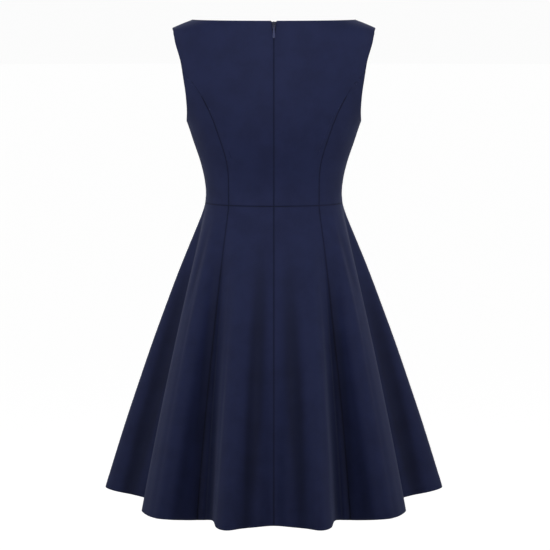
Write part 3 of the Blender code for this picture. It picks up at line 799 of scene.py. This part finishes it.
def crepe_finish():
    """Colour is navy, mixed towards deep by the dye's unevenness, towards light on the
    pebble's tops, and towards painted shade down in a crease and in the fold of a seam, which
    two attributes mark. The bump is the pebble plus yarn lines both ways."""
    crepe = Shader(
        "navy crepe",
        Specular_IOR_Level=0.22,
        Sheen_Weight=0.14,
        Sheen_Roughness=0.40,
        Sheen_Tint=(0.55, 0.62, 1.0, 1.0),
    )
    on_cloth = crepe.where("UV")
    across, along = crepe.across_and_along(on_cloth)
    pebble = crepe.noise(on_cloth, PEBBLE_SCALE, detail=2.0, roughness=0.6)
    dye = crepe.noise(crepe.where("Object"), DYE_SCALE, detail=5.0, roughness=0.6)
    yarns = (across * YARN_WAVES).sine() * 0.5 + (along * YARN_WAVES).sine() * 0.5
    patchy = crepe.mix(dye.between(0.35, 0.70) * 0.60, NAVY, NAVY_DEEP)
    pebbled = crepe.mix(pebble.between(0.45, 0.80) * 0.60, patchy, NAVY_LIGHT)
    # Painted shade along the groove of each seam, which the seam mark gives.
    seam = crepe.mark("seam")
    # Painted shade down in the creases, by how far each point sinks.
    shaded = crepe.mix(crepe.mark("painted_crease_shade").between(0.0, 1.0) * 0.40, pebbled, NAVY_SHADOW)
    crepe.set("Base Color", crepe.mix(seam, shaded, NAVY_SHADOW))
    crepe.set("Roughness", 0.66 + pebble * 0.16 + seam * 0.22)
    crepe.set("Normal", crepe.bump(pebble + yarns * 0.12, 0.35, 0.0006))
    return crepe.material


crepe = crepe_finish()
print("crepe has", len(crepe.node_tree.nodes), "nodes")

# %% [markdown]
# ## The bodice and the skirt
# Seven panels and seven gores are cut from the two forms. Those at the back and sides are made
# for the wearer's left and mirrored for the right. The creases are read on each side's own
# points, so the two sides aren't twins. Each panel is one cloth, and says how large it was cut.

# %% What a panel is measured by
creases = [
    crease_lines(bodice_form, BODICE_CREASES),
    crease_lines(skirt_form, SKIRT_CREASES),
    crease_lines(skirt_form, SEAM_VALLEYS, power=1.0),
]
# The half width of the painted shade along a seam's groove.
PAINTED_SEAM_SHADE = 0.0006
# How deep a crease sinks where its painted shade is full.
FULL_SHADE_DEPTH = 0.0040
NOTCH_REACH = 0.009
EVERYWHERE = 9.0
NOWHERE = -9.0


def parted(points, neck_distance, centre_distance):
    """Moves the centre back edge aside where the slider sits between the edges. The cloth
    beside it gives way too, by a share that dies away on a bell curve."""
    gap = np.interp(-neck_distance, -NOTCH["below"][::-1], NOTCH["half_gap"][::-1])
    points[..., 0] += gap * np.exp(-((centre_distance / NOTCH_REACH) ** 2))
    return points


def cloth_size(outer):
    """The flat size of a panel: its widest row, its longest column and its area."""
    across = np.linalg.norm(np.diff(outer, axis=1), axis=2)
    up = np.linalg.norm(np.diff(outer, axis=0), axis=2)
    cell = np.cross(outer[1:, 1:] - outer[:-1, :-1], outer[1:, :-1] - outer[:-1, 1:])
    area = np.linalg.norm(cell, axis=2).sum() / 2
    return across.sum(axis=1).max(), up.sum(axis=0).max(), area


def square_share(points):
    """The sine of the angle between the grid's rows and its columns: 1 where it's square."""
    up, across = np.gradient(points, axis=(0, 1))
    lengths = np.linalg.norm(up, axis=-1) * np.linalg.norm(across, axis=-1)
    return np.linalg.norm(np.cross(up, across), axis=-1) / lengths


def painted_seam_shade(level, distances, seam_tops):
    """Painted shade in a seam's groove: 1 at a seam, dying away beside it on a bell curve.
    Each edge is a seam up to its own level, and past that it's a hem, a neckline or an armhole."""
    near = [np.where(level <= top, gap, 1.0) for gap, top in zip(distances, seam_tops)]
    return np.exp(-((np.min(near, axis=0) / PAINTED_SEAM_SHADE) ** 2))


print(len(creases), "sets of creases and seam valleys")


# %% Sewing a panel
def take_place(piece, node, body):
    """The piece moves with its body and stands for its CAD node, which is hidden."""
    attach(piece, body)
    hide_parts(node)


def sew_panel(node, form, steps, cut, allowances, seam_tops, size, side=1.0):
    """Makes one panel as a closed wall of crepe. cut is its grid with the columns that keep
    their place, and size is how many rows and columns lie between the crowded ones."""
    bearing, level, *distances = laid_out(form, *cut, allowances, *size)
    mirror = np.array([side, 1.0, 1.0])
    base = form(bearing, level) * mirror
    normal = outward(form, bearing, level, steps) * mirror
    lift = sum(crease_relief(base, *made) for made in creases) + puckers(distances, base)
    depths = wall_depths(distances, allowances)
    walls = [base + (lift - depth)[..., None] * normal for depth in depths]
    if node.startswith("bodice_back"):
        walls = [parted(wall * mirror, distances[1], distances[2]) * mirror for wall in walls]
    faces = closed_faces(*bearing.shape)
    if side < 0:
        faces = faces[:, ::-1]
    points = np.concatenate(walls).reshape(-1, 3)
    flat = np.tile(stacked(distances[2], distances[0]).reshape(-1, 2), (2, 1))
    squared = np.array(distances) * square_share(base)
    marks = {
        # Painted shade along the groove of each seam.
        "seam": np.tile(painted_seam_shade(level, squared, seam_tops).ravel(), 2),
        # Painted shade down in the creases, by how far each point sinks.
        "painted_crease_shade": np.tile(np.clip(-lift / FULL_SHADE_DEPTH, 0.0, 1.0).ravel(), 2),
    }
    piece = add_piece(f"crepe_{node}", points, faces, crepe, flat, marks=marks)
    take_place(piece, node, "dress")
    width, length, area = cloth_size(walls[0])
    above = "crepe_" + node.replace("skirt", "bodice")
    print(f"{node}: cut {width:.3f} x {length:.3f} m, {area:.4f} m2, {len(faces)} faces")


print("a panel is", 1000 * (2 * ROLL), "mm thick at its seams and", 1000 * SINGLE, "between")


# %% The fourteen panels
def sew_set(front, panels, *shared):
    """Sews the left and right panels and then the front on its fold. shared is the form and
    its steps, and a panel is a name, a cut, allowances, the tops of its seams and a size."""
    for word, side in (("left", 1.0), ("right", -1.0)):
        for name, *panel in panels:
            sew_panel(f"{name}_{word}", *shared, *panel, side)
    sew_panel(front[0], *shared, *front[1:])


TURNED = (SEAM_ALLOWANCE, NECK_ALLOWANCE, SEAM_ALLOWANCE, SEAM_ALLOWANCE)
HEMMED = (HEM_ALLOWANCE, SEAM_ALLOWANCE, SEAM_ALLOWANCE, SEAM_ALLOWANCE)
BACK_TOPS = (EVERYWHERE, NOWHERE, EVERYWHERE, BACK_JUNCTION)
FRONT_TOPS = (EVERYWHERE, NOWHERE, FRONT_JUNCTION, FRONT_JUNCTION)
SIDE_TOPS = (EVERYWHERE, NOWHERE, EVERYWHERE, EVERYWHERE)
GORE_TOPS = (NOWHERE, EVERYWHERE, EVERYWHERE, EVERYWHERE)
BODICE_PANELS = (
    ("bodice_back", back_panel(), TURNED, BACK_TOPS, (70, 64)),
    ("bodice_side_back", side_panel(False), TURNED, SIDE_TOPS, (52, 30)),
    ("bodice_side_front", side_panel(True), TURNED, SIDE_TOPS, (52, 30)),
)
GORES = (
    ("skirt_back", gore(0.0, SIDE_BACK_SEAM), HEMMED, GORE_TOPS, (60, 70)),
    ("skirt_side_back", gore(SIDE_BACK_SEAM, SIDE_SEAM), HEMMED, GORE_TOPS, (60, 100)),
    ("skirt_side_front", gore(SIDE_SEAM, SIDE_FRONT_SEAM), HEMMED, GORE_TOPS, (60, 90)),
)
bodice_front = ("bodice_front", front_panel(), TURNED, FRONT_TOPS, (70, 100))
front_gore = gore(SIDE_FRONT_SEAM, 360.0 - SIDE_FRONT_SEAM)
skirt_front = ("skirt_front", front_gore, HEMMED, GORE_TOPS, (60, 100))
sew_set(bodice_front, BODICE_PANELS, bodice_form, BODICE_STEPS)
sew_set(skirt_front, GORES, skirt_form, SKIRT_STEPS)

# %% [markdown]
# ## A profile carried along a path
# Tape, wire and cast tabs all have a small section that stays much the same along a line. So
# one helper skins a row of rings, each ring being the section at one place. Many rounded rings
# give a casting's soft corners, where a few square ones would give a box.

# %% Rings into closed solids
ZIP_SHARP = math.radians(50)


def squared_off(wave, squareness):
    """A cosine or a sine raised to 2 / squareness, with its sign kept."""
    return np.sign(wave) * np.abs(wave) ** (2.0 / squareness)


def rounded_section(count, squareness):
    """A closed section of unit half width and half depth: the cosine and the sine of the turn,
    each raised to 2 / squareness. 2 gives an ellipse, and more gives a rounder box."""
    turn = (np.arange(count) + 0.5) * 2 * math.pi / count
    return squared_off(stacked(np.cos(turn), np.sin(turn)), squareness)


def skinned(rings, loop=False):
    """Points and faces of a solid through rings of points. Faces run round and along, and each
    end is capped by strips across it, unless the last ring runs back to the first. Where the
    solid would be inside out, which its signed volume tells, its faces are turned."""
    count, sides = rings.shape[:2]
    index = np.arange(count * sides).reshape(count, sides)
    wide = np.concatenate([index, index[:1]]) if loop else index
    faces = grid_faces(np.concatenate([wide, wide[:, :1]], axis=1))
    if not loop:
        k = np.arange(sides // 2 - 1)
        cap = stacked(k, k + 1, sides - 2 - k, sides - 1 - k)
        faces = np.concatenate([faces, cap, cap[:, ::-1] + index[-1, 0]])
    points = rings.reshape(-1, 3)
    a, b, c, d = points[faces].transpose(1, 0, 2)
    volume = (a * (np.cross(b, c) + np.cross(c, d))).sum()
    return points, faces if volume > 0 else faces[:, ::-1]


def add_solids(name, solids, finish, node, body, slot, sharp=None):
    """Several solids' points and faces as one piece that stands for its CAD node."""
    starts = np.cumsum([0] + [len(points) for points, _ in solids[:-1]])
    points = np.concatenate([points for points, _ in solids])
    faces = np.concatenate([faces + start for (_, faces), start in zip(solids, starts)])
    take_place(add_piece(name, points, faces, finish, sharp=sharp), node, body)
    print(f"{node}: {len(faces)} faces")


print("a section of", len(rounded_section(16, 5.0)), "points can be carried along any path")

# %% [markdown]
# ## The line behind the centre back seam
# A concealed zip's tapes and coil follow the seam at set depths behind it. The line is read off
# the two forms once, by its length from the neckline. The kink at the waist seam is rounded
# off, as a stiff tape rounds it.

# %% Points down the seam and the way out from it
ZIP_END_DROP = 0.28
LINE_STEP = 0.0005
KINK_STEPS = 25


def centre_back_line():
    """y and z down the centre back at even steps, and those of the outward normal at each. A
    normal is the tangent turned a quarter, averaged over a few steps either side."""
    upper = bodice_form(0.0, np.linspace(BACK_NECK, WAIST, 600))
    lower = skirt_form(0.0, np.linspace(0.0, ZIP_END_DROP, 300))[1:]
    line = np.concatenate([upper, lower])[:, 1:]
    run = np.append(0.0, np.cumsum(np.linalg.norm(np.diff(line, axis=0), axis=1)))
    wanted = np.arange(0.0, run[-1], LINE_STEP)
    y = np.interp(wanted, run, line[:, 0])
    z = np.interp(wanted, run, line[:, 1])
    weights = np.hanning(KINK_STEPS + 2)[1:-1]
    slopes = [np.pad(np.gradient(values), KINK_STEPS // 2, mode="edge") for values in (y, z)]
    along_y, along_z = (np.convolve(slope, weights, "valid") for slope in slopes)
    return wanted, (y, z, *unit(stacked(-along_z, along_y)).T)


back_run, back_line = centre_back_line()


def behind_seam(run, across, depth):
    """Places at a distance down the seam, a distance to the left of it and a depth below it."""
    y, z, normal_y, normal_z = (np.interp(run, back_run, values) for values in back_line)
    return stacked(across, y - depth * normal_y, z - depth * normal_z)


print("the zip's line is", round(back_run[-1], 3), "m long")

# %% [markdown]
# ## Tape, nylon and lacquered metal
# The tape is woven polyester with a rib every millimetre or so. The coil is bare nylon, dyed
# with the tape, so it is smoother and a little shiny. The slider and its pull are die cast and
# then lacquered navy: metal under a thin clear coat. Handling wears the lacquer thin on the
# pull. The slider's body is given darker navy colours than the pull.

# %% The zip's finishes
# The tape's two navies are darker than its own, as painted shade in the gap round the slider.
TAPE_NAVY_WITH_SHADE = (0.0080, 0.0098, 0.0300, 1.0)
TAPE_RIB_WITH_SHADE = (0.0140, 0.0165, 0.0470, 1.0)
NYLON = (0.0180, 0.0215, 0.0600, 1.0)
NYLON_PALE = (0.0290, 0.0340, 0.0880, 1.0)
LACQUER = (0.0640, 0.0760, 0.1850, 1.0)
LACQUER_THIN = (0.1100, 0.1260, 0.2700, 1.0)
# The slider's body is given a darker navy than the pull.
SLIDER_DARK_NAVY = (0.0080, 0.0100, 0.0260, 1.0)
RIB_WAVES = 5200.0
WARP_WAVES = 8900.0


def tape_finish():
    """Colour and bump follow ribs across the tape and finer warp lines along it, both sines.
    Both colours are the tape's navy made darker, as painted shade in the gap round the slider.
    """
    tape = Shader("navy zip tape", Roughness=0.85, Specular_IOR_Level=0.3, Sheen_Weight=0.2)
    across, along = tape.across_and_along(tape.where("UV"))
    weave = (along * RIB_WAVES).sine() * 0.35 + (across * WARP_WAVES).sine() * 0.15 + 0.5
    tape.set("Base Color", tape.mix(weave.between(0.2, 0.9), TAPE_NAVY_WITH_SHADE, TAPE_RIB_WITH_SHADE))
    tape.set("Normal", tape.bump(weave, 0.6, 0.0003))
    return tape.material


def nylon_finish():
    """Colour and roughness vary a little with a fine noise."""
    nylon = Shader("navy nylon", Specular_IOR_Level=0.5)
    dye = nylon.noise(nylon.where("Object"), 900.0)
    nylon.set("Base Color", nylon.mix(dye.between(0.4, 0.8), NYLON, NYLON_PALE))
    nylon.set("Roughness", 0.32 + dye * 0.2)
    return nylon.material


def lacquer_finish(name, thick, thin_colour):
    """Metal seen through navy lacquer. A noise mottles its thickness and its roughness."""
    metal = Shader(name, Metallic=0.30, Coat_Weight=0.25, Coat_Roughness=0.18)
    thin = metal.noise(metal.where("Object"), 700.0, detail=3.0)
    metal.set("Base Color", metal.mix(thin.between(0.45, 0.85), thick, thin_colour))
    metal.set("Roughness", 0.24 + thin * 0.18)
    metal.set("Normal", metal.bump(thin, 0.15, 0.0002))
    return metal.material


tape_cloth = tape_finish()
nylon = nylon_finish()
pull_lacquer = lacquer_finish("navy lacquer", LACQUER, LACQUER_THIN)
slider_lacquer = lacquer_finish("dark navy lacquer", SLIDER_DARK_NAVY, LACQUER)
print("four finishes for the zip")

# %% [markdown]
# ## The two tapes
# Each tape is a thin strip behind the allowances. It reaches from the neckline, across the gap
# that the slider sits in, to below the hips. On a concealed zip the tapes meet in front of the
# coil, so that only cloth shows from outside. Their edges lap by a hair and let no light by.

# %% The tapes
TAPE_OUTER = 0.0140
TAPE_DEPTH = 0.0032
TAPE_THICKNESS = 0.0006
TAPE_TOP = 0.0012
TAPE_MEET = -0.0002
TAPE_RIPPLE = 0.00012


def sew_tape(word, side):
    """A flat section from the seam line to the tape's outer edge, carried down the seam, with
    the sum of two slow sine ripples in its depth."""
    run = np.linspace(TAPE_TOP, back_run[-1] - LINE_STEP, 260)[:, None]
    section = rounded_section(24, 9.0)
    across = (TAPE_MEET + TAPE_OUTER) / 2 + (TAPE_OUTER - TAPE_MEET) / 2 * section[:, 0]
    ripple = TAPE_RIPPLE * (np.sin(run * 210.0 + side) + 0.6 * np.sin(run * 133.0))
    depth = TAPE_DEPTH + TAPE_THICKNESS / 2 * (1.0 - section[:, 1]) + ripple
    points, faces = skinned(behind_seam(run, side * across, depth))
    flat = stacked(across, run).reshape(-1, 2)
    piece = add_piece(f"zip_tape_cloth_{word}", points, faces, tape_cloth, flat, ZIP_SHARP)
    take_place(piece, f"zip_tape_{word}", "dress")


sew_tape("left", 1.0)
sew_tape("right", -1.0)

# %% [markdown]
# ## The coil
# The teeth of a nylon zip are one long wire on each tape, wound into a flattened coil, and the
# two coils mesh, right up to the slider. Two helices half a pitch apart show that at any
# distance. A texture would go flat when it's seen from inside the dress.

# %% Two meshed helices
PITCH = 0.0014
WIRE = 0.0003
WIRE_SIDES = 6
TURN_POINTS = 10
COIL_REACH = 0.0015
COIL_CENTRE = 0.0012
COIL_FLATNESS = 0.0006
COIL_TOP = 0.0146
COIL_DEPTH = TAPE_DEPTH + TAPE_THICKNESS


def coil_wire(side):
    """A wire whose centre goes round a flattened ellipse beside the seam once each pitch. Its
    ring at each point lies across the wire, in the directions of the depth and the seam."""
    count = int((back_run[-1] - 2 * LINE_STEP - COIL_TOP) / PITCH * TURN_POINTS)
    turn = np.arange(count) * 2 * math.pi / TURN_POINTS
    run = COIL_TOP + (turn / (2 * math.pi) + 0.25 * (1 - side)) * PITCH
    across = side * (COIL_CENTRE - COIL_REACH * np.cos(turn))
    depth = COIL_DEPTH + WIRE + COIL_FLATNESS * (1.0 + np.sin(turn))
    path = behind_seam(run, across, depth)
    tangent = unit(np.gradient(path, axis=0))
    down = behind_seam(run + PITCH, 0.0, COIL_DEPTH) - behind_seam(run, 0.0, COIL_DEPTH)
    first = unit(np.cross(tangent, down))
    second = np.cross(tangent, first)
    ring = WIRE * rounded_section(WIRE_SIDES, 2.0)
    rings = path[:, None] + ring[:, :1] * first[:, None] + ring[:, 1:] * second[:, None]
    return skinned(rings)


wires = [coil_wire(1.0), coil_wire(-1.0)]
add_solids("zip_coil_wires", wires, nylon, "zip_coil", "dress", "zip_coil")

# %% [markdown]
# ## The slider and its pull
# A concealed zip's slider shows only a small shield between the edges, with a bridge cast on it.
# The pull tab hangs by its eye from that bridge and lifts on it like a flap. Both are castings,
# so they have soft corners, and the tab has a raised rim round a sunk face.

# %% The slider
PIVOT_LEVEL = -0.0112
PIVOT_OUT = 0.0015
SHIELD = table("height half_width half_depth", [
    (-0.0052, 0.0008, 0.0006),
    (-0.0046, 0.0016, 0.0009),
    (-0.003, 0.0024, 0.001),
    (-0.001, 0.0028, 0.001),
    (0.0048, 0.0028, 0.001),
    (0.0066, 0.0021, 0.001),
    (0.0076, 0.0012, 0.0009),
    (0.008, 0.0006, 0.0005),
])
SHIELD_CENTRE = -0.0006
BRIDGE_HEIGHT = 0.0031
BRIDGE_REACH = 0.0023
BRIDGE_HALF_WIDTH = 0.0008
BRIDGE_HALF_DEPTH = 0.0006
BRIDGE_SQUARENESS = 4.0


def in_place(solid, out=0.0):
    """From the zip's own axes into the dress's. x is the hinge, y straight out, z up the
    cloth. The turn is about x, by the lean of the form's normal at the pivot."""
    points, faces = solid
    level = np.array(PIVOT_LEVEL)
    _, outwards, up = outward(bodice_form, np.array(0.0), level, BODICE_STEPS)
    x, y, z = points.T
    y = y + out
    turned = stacked(x, y * outwards - z * up, y * up + z * outwards)
    return turned + bodice_form(0.0, level), faces


def cast_shield():
    """Rounded-box sections up the shield, as wide and deep as the table says."""
    heights = np.linspace(SHIELD["height"][0], SHIELD["height"][-1], 40)
    section = rounded_section(28, 4.0)
    x = smooth(SHIELD, "half_width", heights)[:, None] * section[:, 0]
    y = smooth(SHIELD, "half_depth", heights)[:, None] * section[:, 1] + SHIELD_CENTRE
    return skinned(stacked(x, y, heights[:, None]))


def cast_bridge():
    """A small rounded section carried over an arch, which is half of a squarish ellipse."""
    turn = np.linspace(0.0, math.pi, 41)
    y = BRIDGE_HEIGHT * squared_off(np.sin(turn), BRIDGE_SQUARENESS)
    z = BRIDGE_REACH * squared_off(np.cos(turn), BRIDGE_SQUARENESS)
    slope = unit(stacked(np.gradient(y), np.gradient(z)))
    section = rounded_section(16, 3.0) * (BRIDGE_HALF_WIDTH, BRIDGE_HALF_DEPTH)
    y = y[:, None] - section[:, 1] * slope[:, 1:]
    z = z[:, None] + section[:, 1] * slope[:, :1]
    return skinned(stacked(section[:, 0], y, z))


slider = [in_place(cast_shield()), in_place(cast_bridge())]
place = ("zip_slider", "dress", "zip_metal")
add_solids("zip_slider_cast", slider, slider_lacquer, *place, ZIP_SHARP)

# %% The pull tab
EYE_HALF_WIDTH = 0.0018
EYE_LENGTH = 0.0055
EYE_NARROWING = 0.25
EYE_SQUARENESS = 3.5
EYE_HALF_WIRE = 0.0005
TAB_TOP = -0.0056
TAB_END = -0.0232
TAB_NECK = 0.0010
TAB_ROUND = 0.0022
TAB_HALF_DEPTH = 0.0006
TAB_SUNK = 0.35
RIM_INSIDE = 0.80
RIM_SLOPE = 0.2


def cast_eye():
    """A ring carried round a squarish loop that is narrower at the bottom."""
    turn = np.linspace(0.0, 2 * math.pi, 64, endpoint=False)
    rise = squared_off(np.sin(turn), EYE_SQUARENESS)
    width = EYE_HALF_WIDTH * (1.0 - EYE_NARROWING * (1.0 - rise) / 2)
    x = width * squared_off(np.cos(turn), EYE_SQUARENESS)
    z = (rise - 1.0) * EYE_LENGTH / 2
    loop = stacked(x, z)
    slope = unit(np.roll(loop, -1, axis=0) - np.roll(loop, 1, axis=0))
    section = rounded_section(12, 2.6) * (EYE_HALF_WIRE, TAB_HALF_DEPTH)
    x = x[:, None] + section[:, 0] * slope[:, 1:]
    z = z[:, None] - section[:, 0] * slope[:, :1]
    return skinned(stacked(x, section[:, 1], z), loop=True)


def cast_tab():
    """Sections down the drop. Its half width grows from the neck in a straight line, and then
    ends in a half circle. Both faces sink inside the rim, except near the two ends."""
    middle = TAB_END + TAB_ROUND
    turn = np.linspace(0.0, math.pi / 2, 20)[1:-1]
    straight = np.linspace(TAB_TOP, middle, 30)
    heights = np.concatenate([straight, middle - TAB_ROUND * np.sin(turn)])
    grown = TAB_NECK + (TAB_ROUND - TAB_NECK) * (TAB_TOP - heights) / (TAB_TOP - middle)
    ended = np.sqrt(np.clip(TAB_ROUND**2 - (heights - middle) ** 2, 0.0, None))
    width = np.where(heights > middle, grown, ended)
    section = rounded_section(36, 5.0)
    inside = np.clip((RIM_INSIDE - np.abs(section[:, 0])) / RIM_SLOPE, 0.0, 1.0)
    held = np.sin(math.pi * np.linspace(0.0, 1.0, len(heights))) ** 0.5
    depth = TAB_HALF_DEPTH * (1.0 - TAB_SUNK * held[:, None] * inside)
    x = width[:, None] * section[:, 0]
    return skinned(stacked(x, depth * section[:, 1], heights[:, None]))


pull = [in_place(cast_eye(), PIVOT_OUT), in_place(cast_tab(), PIVOT_OUT)]
place = ("zip_pull", "pull", "zip_metal")
add_solids("zip_pull_cast", pull, pull_lacquer, *place, ZIP_SHARP)

# %% [markdown]
# ## The studio
# The ground is plain and pale. Dark cloth needs far more light than white paper, and from the
# side: large soft lights level with the dress run along the edges of its folds, and weaker ones
# high, level and low fill the rest. Front and back are both lit, because the dress is looked at
# from all round. The paper glows by itself, so the floor adds no light to the cloth.

# %% Floor and room
FLOOR_LEVEL = -1.38
FLOOR_RADIUS = 60.0
FLOOR_CORNERS = 96
PAPER = 0.25
PAPER_GLOW = 0.95
ROOM = 0.97
AMBIENT = 0.124


def grey(level):
    """An opaque grey of this brightness."""
    return (level, level, level, 1.0)


def add_floor():
    """A wide flat disc at the height where the wearer's feet would be."""
    turns = np.linspace(0.0, 2 * math.pi, FLOOR_CORNERS, endpoint=False)
    rim = stacked(FLOOR_RADIUS * np.cos(turns), FLOOR_RADIUS * np.sin(turns), FLOOR_LEVEL)
    paper = Shader(
        "floor paper",
        Base_Color=grey(PAPER),
        Roughness=0.9,
        Emission_Color=grey(1.0),
        Emission_Strength=PAPER_GLOW,
    )
    floor = add_piece("floor", rim, np.arange(FLOOR_CORNERS)[None, :], paper.material)
    floor.visible_diffuse = False
    floor.visible_glossy = False


def add_room():
    """A pale world that the camera sees, and a dimmer one that fills the shadows."""
    world = bpy.data.worlds.new("studio")
    world.use_nodes = True
    nodes = world.node_tree.nodes
    seen = nodes.new("ShaderNodeLightPath").outputs["Is Camera Ray"]
    strength = nodes.new("ShaderNodeMapRange")
    strength.inputs["To Min"].default_value = AMBIENT
    strength.inputs["To Max"].default_value = ROOM
    world.node_tree.links.new(seen, strength.inputs["Value"])
    world.node_tree.links.new(strength.outputs["Result"], nodes["Background"].inputs["Strength"])
    nodes["Background"].inputs["Color"].default_value = grey(1.0)
    bpy.context.scene.world = world


add_floor()
add_room()
bpy.context.scene.view_settings.view_transform = "Standard"
print("floor at", FLOOR_LEVEL, "m")

# %% Soft lights
# Name, place, width and height, level aimed at, spread in degrees, watts. A light to the left
# has a twin on the right.
LIGHTS = (
    ("side", (2.0, 0.0, -0.1), (0.9, 1.8), -0.45, 180.0, 8.4),
    ("rim", (1.6, -1.9, 0.1), (1.0, 1.8), -0.45, 180.0, 4.2),
    ("back high", (0.0, 1.3, 1.2), (1.4, 0.8), -0.45, 180.0, 9.0),
    ("back level", (0.0, 2.6, 0.1), (0.8, 0.6), -0.12, 50.0, 1.5),
    ("back low", (1.6, 1.9, -0.7), (0.7, 0.9), -0.60, 180.0, 1.9),
    ("front high", (0.0, -1.3, 1.2), (1.4, 0.8), -0.45, 180.0, 4.0),
    ("front level", (0.0, -2.6, 0.1), (0.8, 0.6), -0.12, 50.0, 0.8),
)


def add_light(name, place, size, aim, spread, power):
    """A rectangular soft light that faces the dress at the level of its aim. A spread under
    180 degrees is a softbox with a grid, which lights less of the dress."""
    lamp = bpy.data.lights.new(name, "AREA")
    lamp.shape = "RECTANGLE"
    lamp.size, lamp.size_y = size
    lamp.spread = math.radians(spread)
    lamp.energy = power
    light = add_object(name, lamp)
    away = Vector(place) - Vector((0.0, 0.0, aim))
    light.location = place
    light.rotation_euler = away.to_track_quat("Z", "Y").to_euler()
    light.visible_camera = False


for name, place, *rest in LIGHTS:
    if place[0] == 0.0:
        add_light(name, place, *rest)
    else:
        add_light(f"{name} left", place, *rest)
        add_light(f"{name} right", (-place[0], *place[1:]), *rest)
print(len(bpy.data.lights), "soft lights")

# %% Camera
CAMERA_PLACE = (-0.0021, 3.8674, 0.001)
CAMERA_PITCH = 7.13
LENS_LENGTH = 134.02
SENSOR_WIDTH = 36.0

lens = bpy.data.cameras.new("camera")
lens.lens = LENS_LENGTH
lens.sensor_width = SENSOR_WIDTH
camera = add_object("camera", lens)
camera.location = CAMERA_PLACE
camera.rotation_euler = (math.radians(90.0 - CAMERA_PITCH), 0.0, math.pi)
bpy.context.scene.camera = camera
print("camera", LENS_LENGTH, "mm, pitched", CAMERA_PITCH, "degrees down")
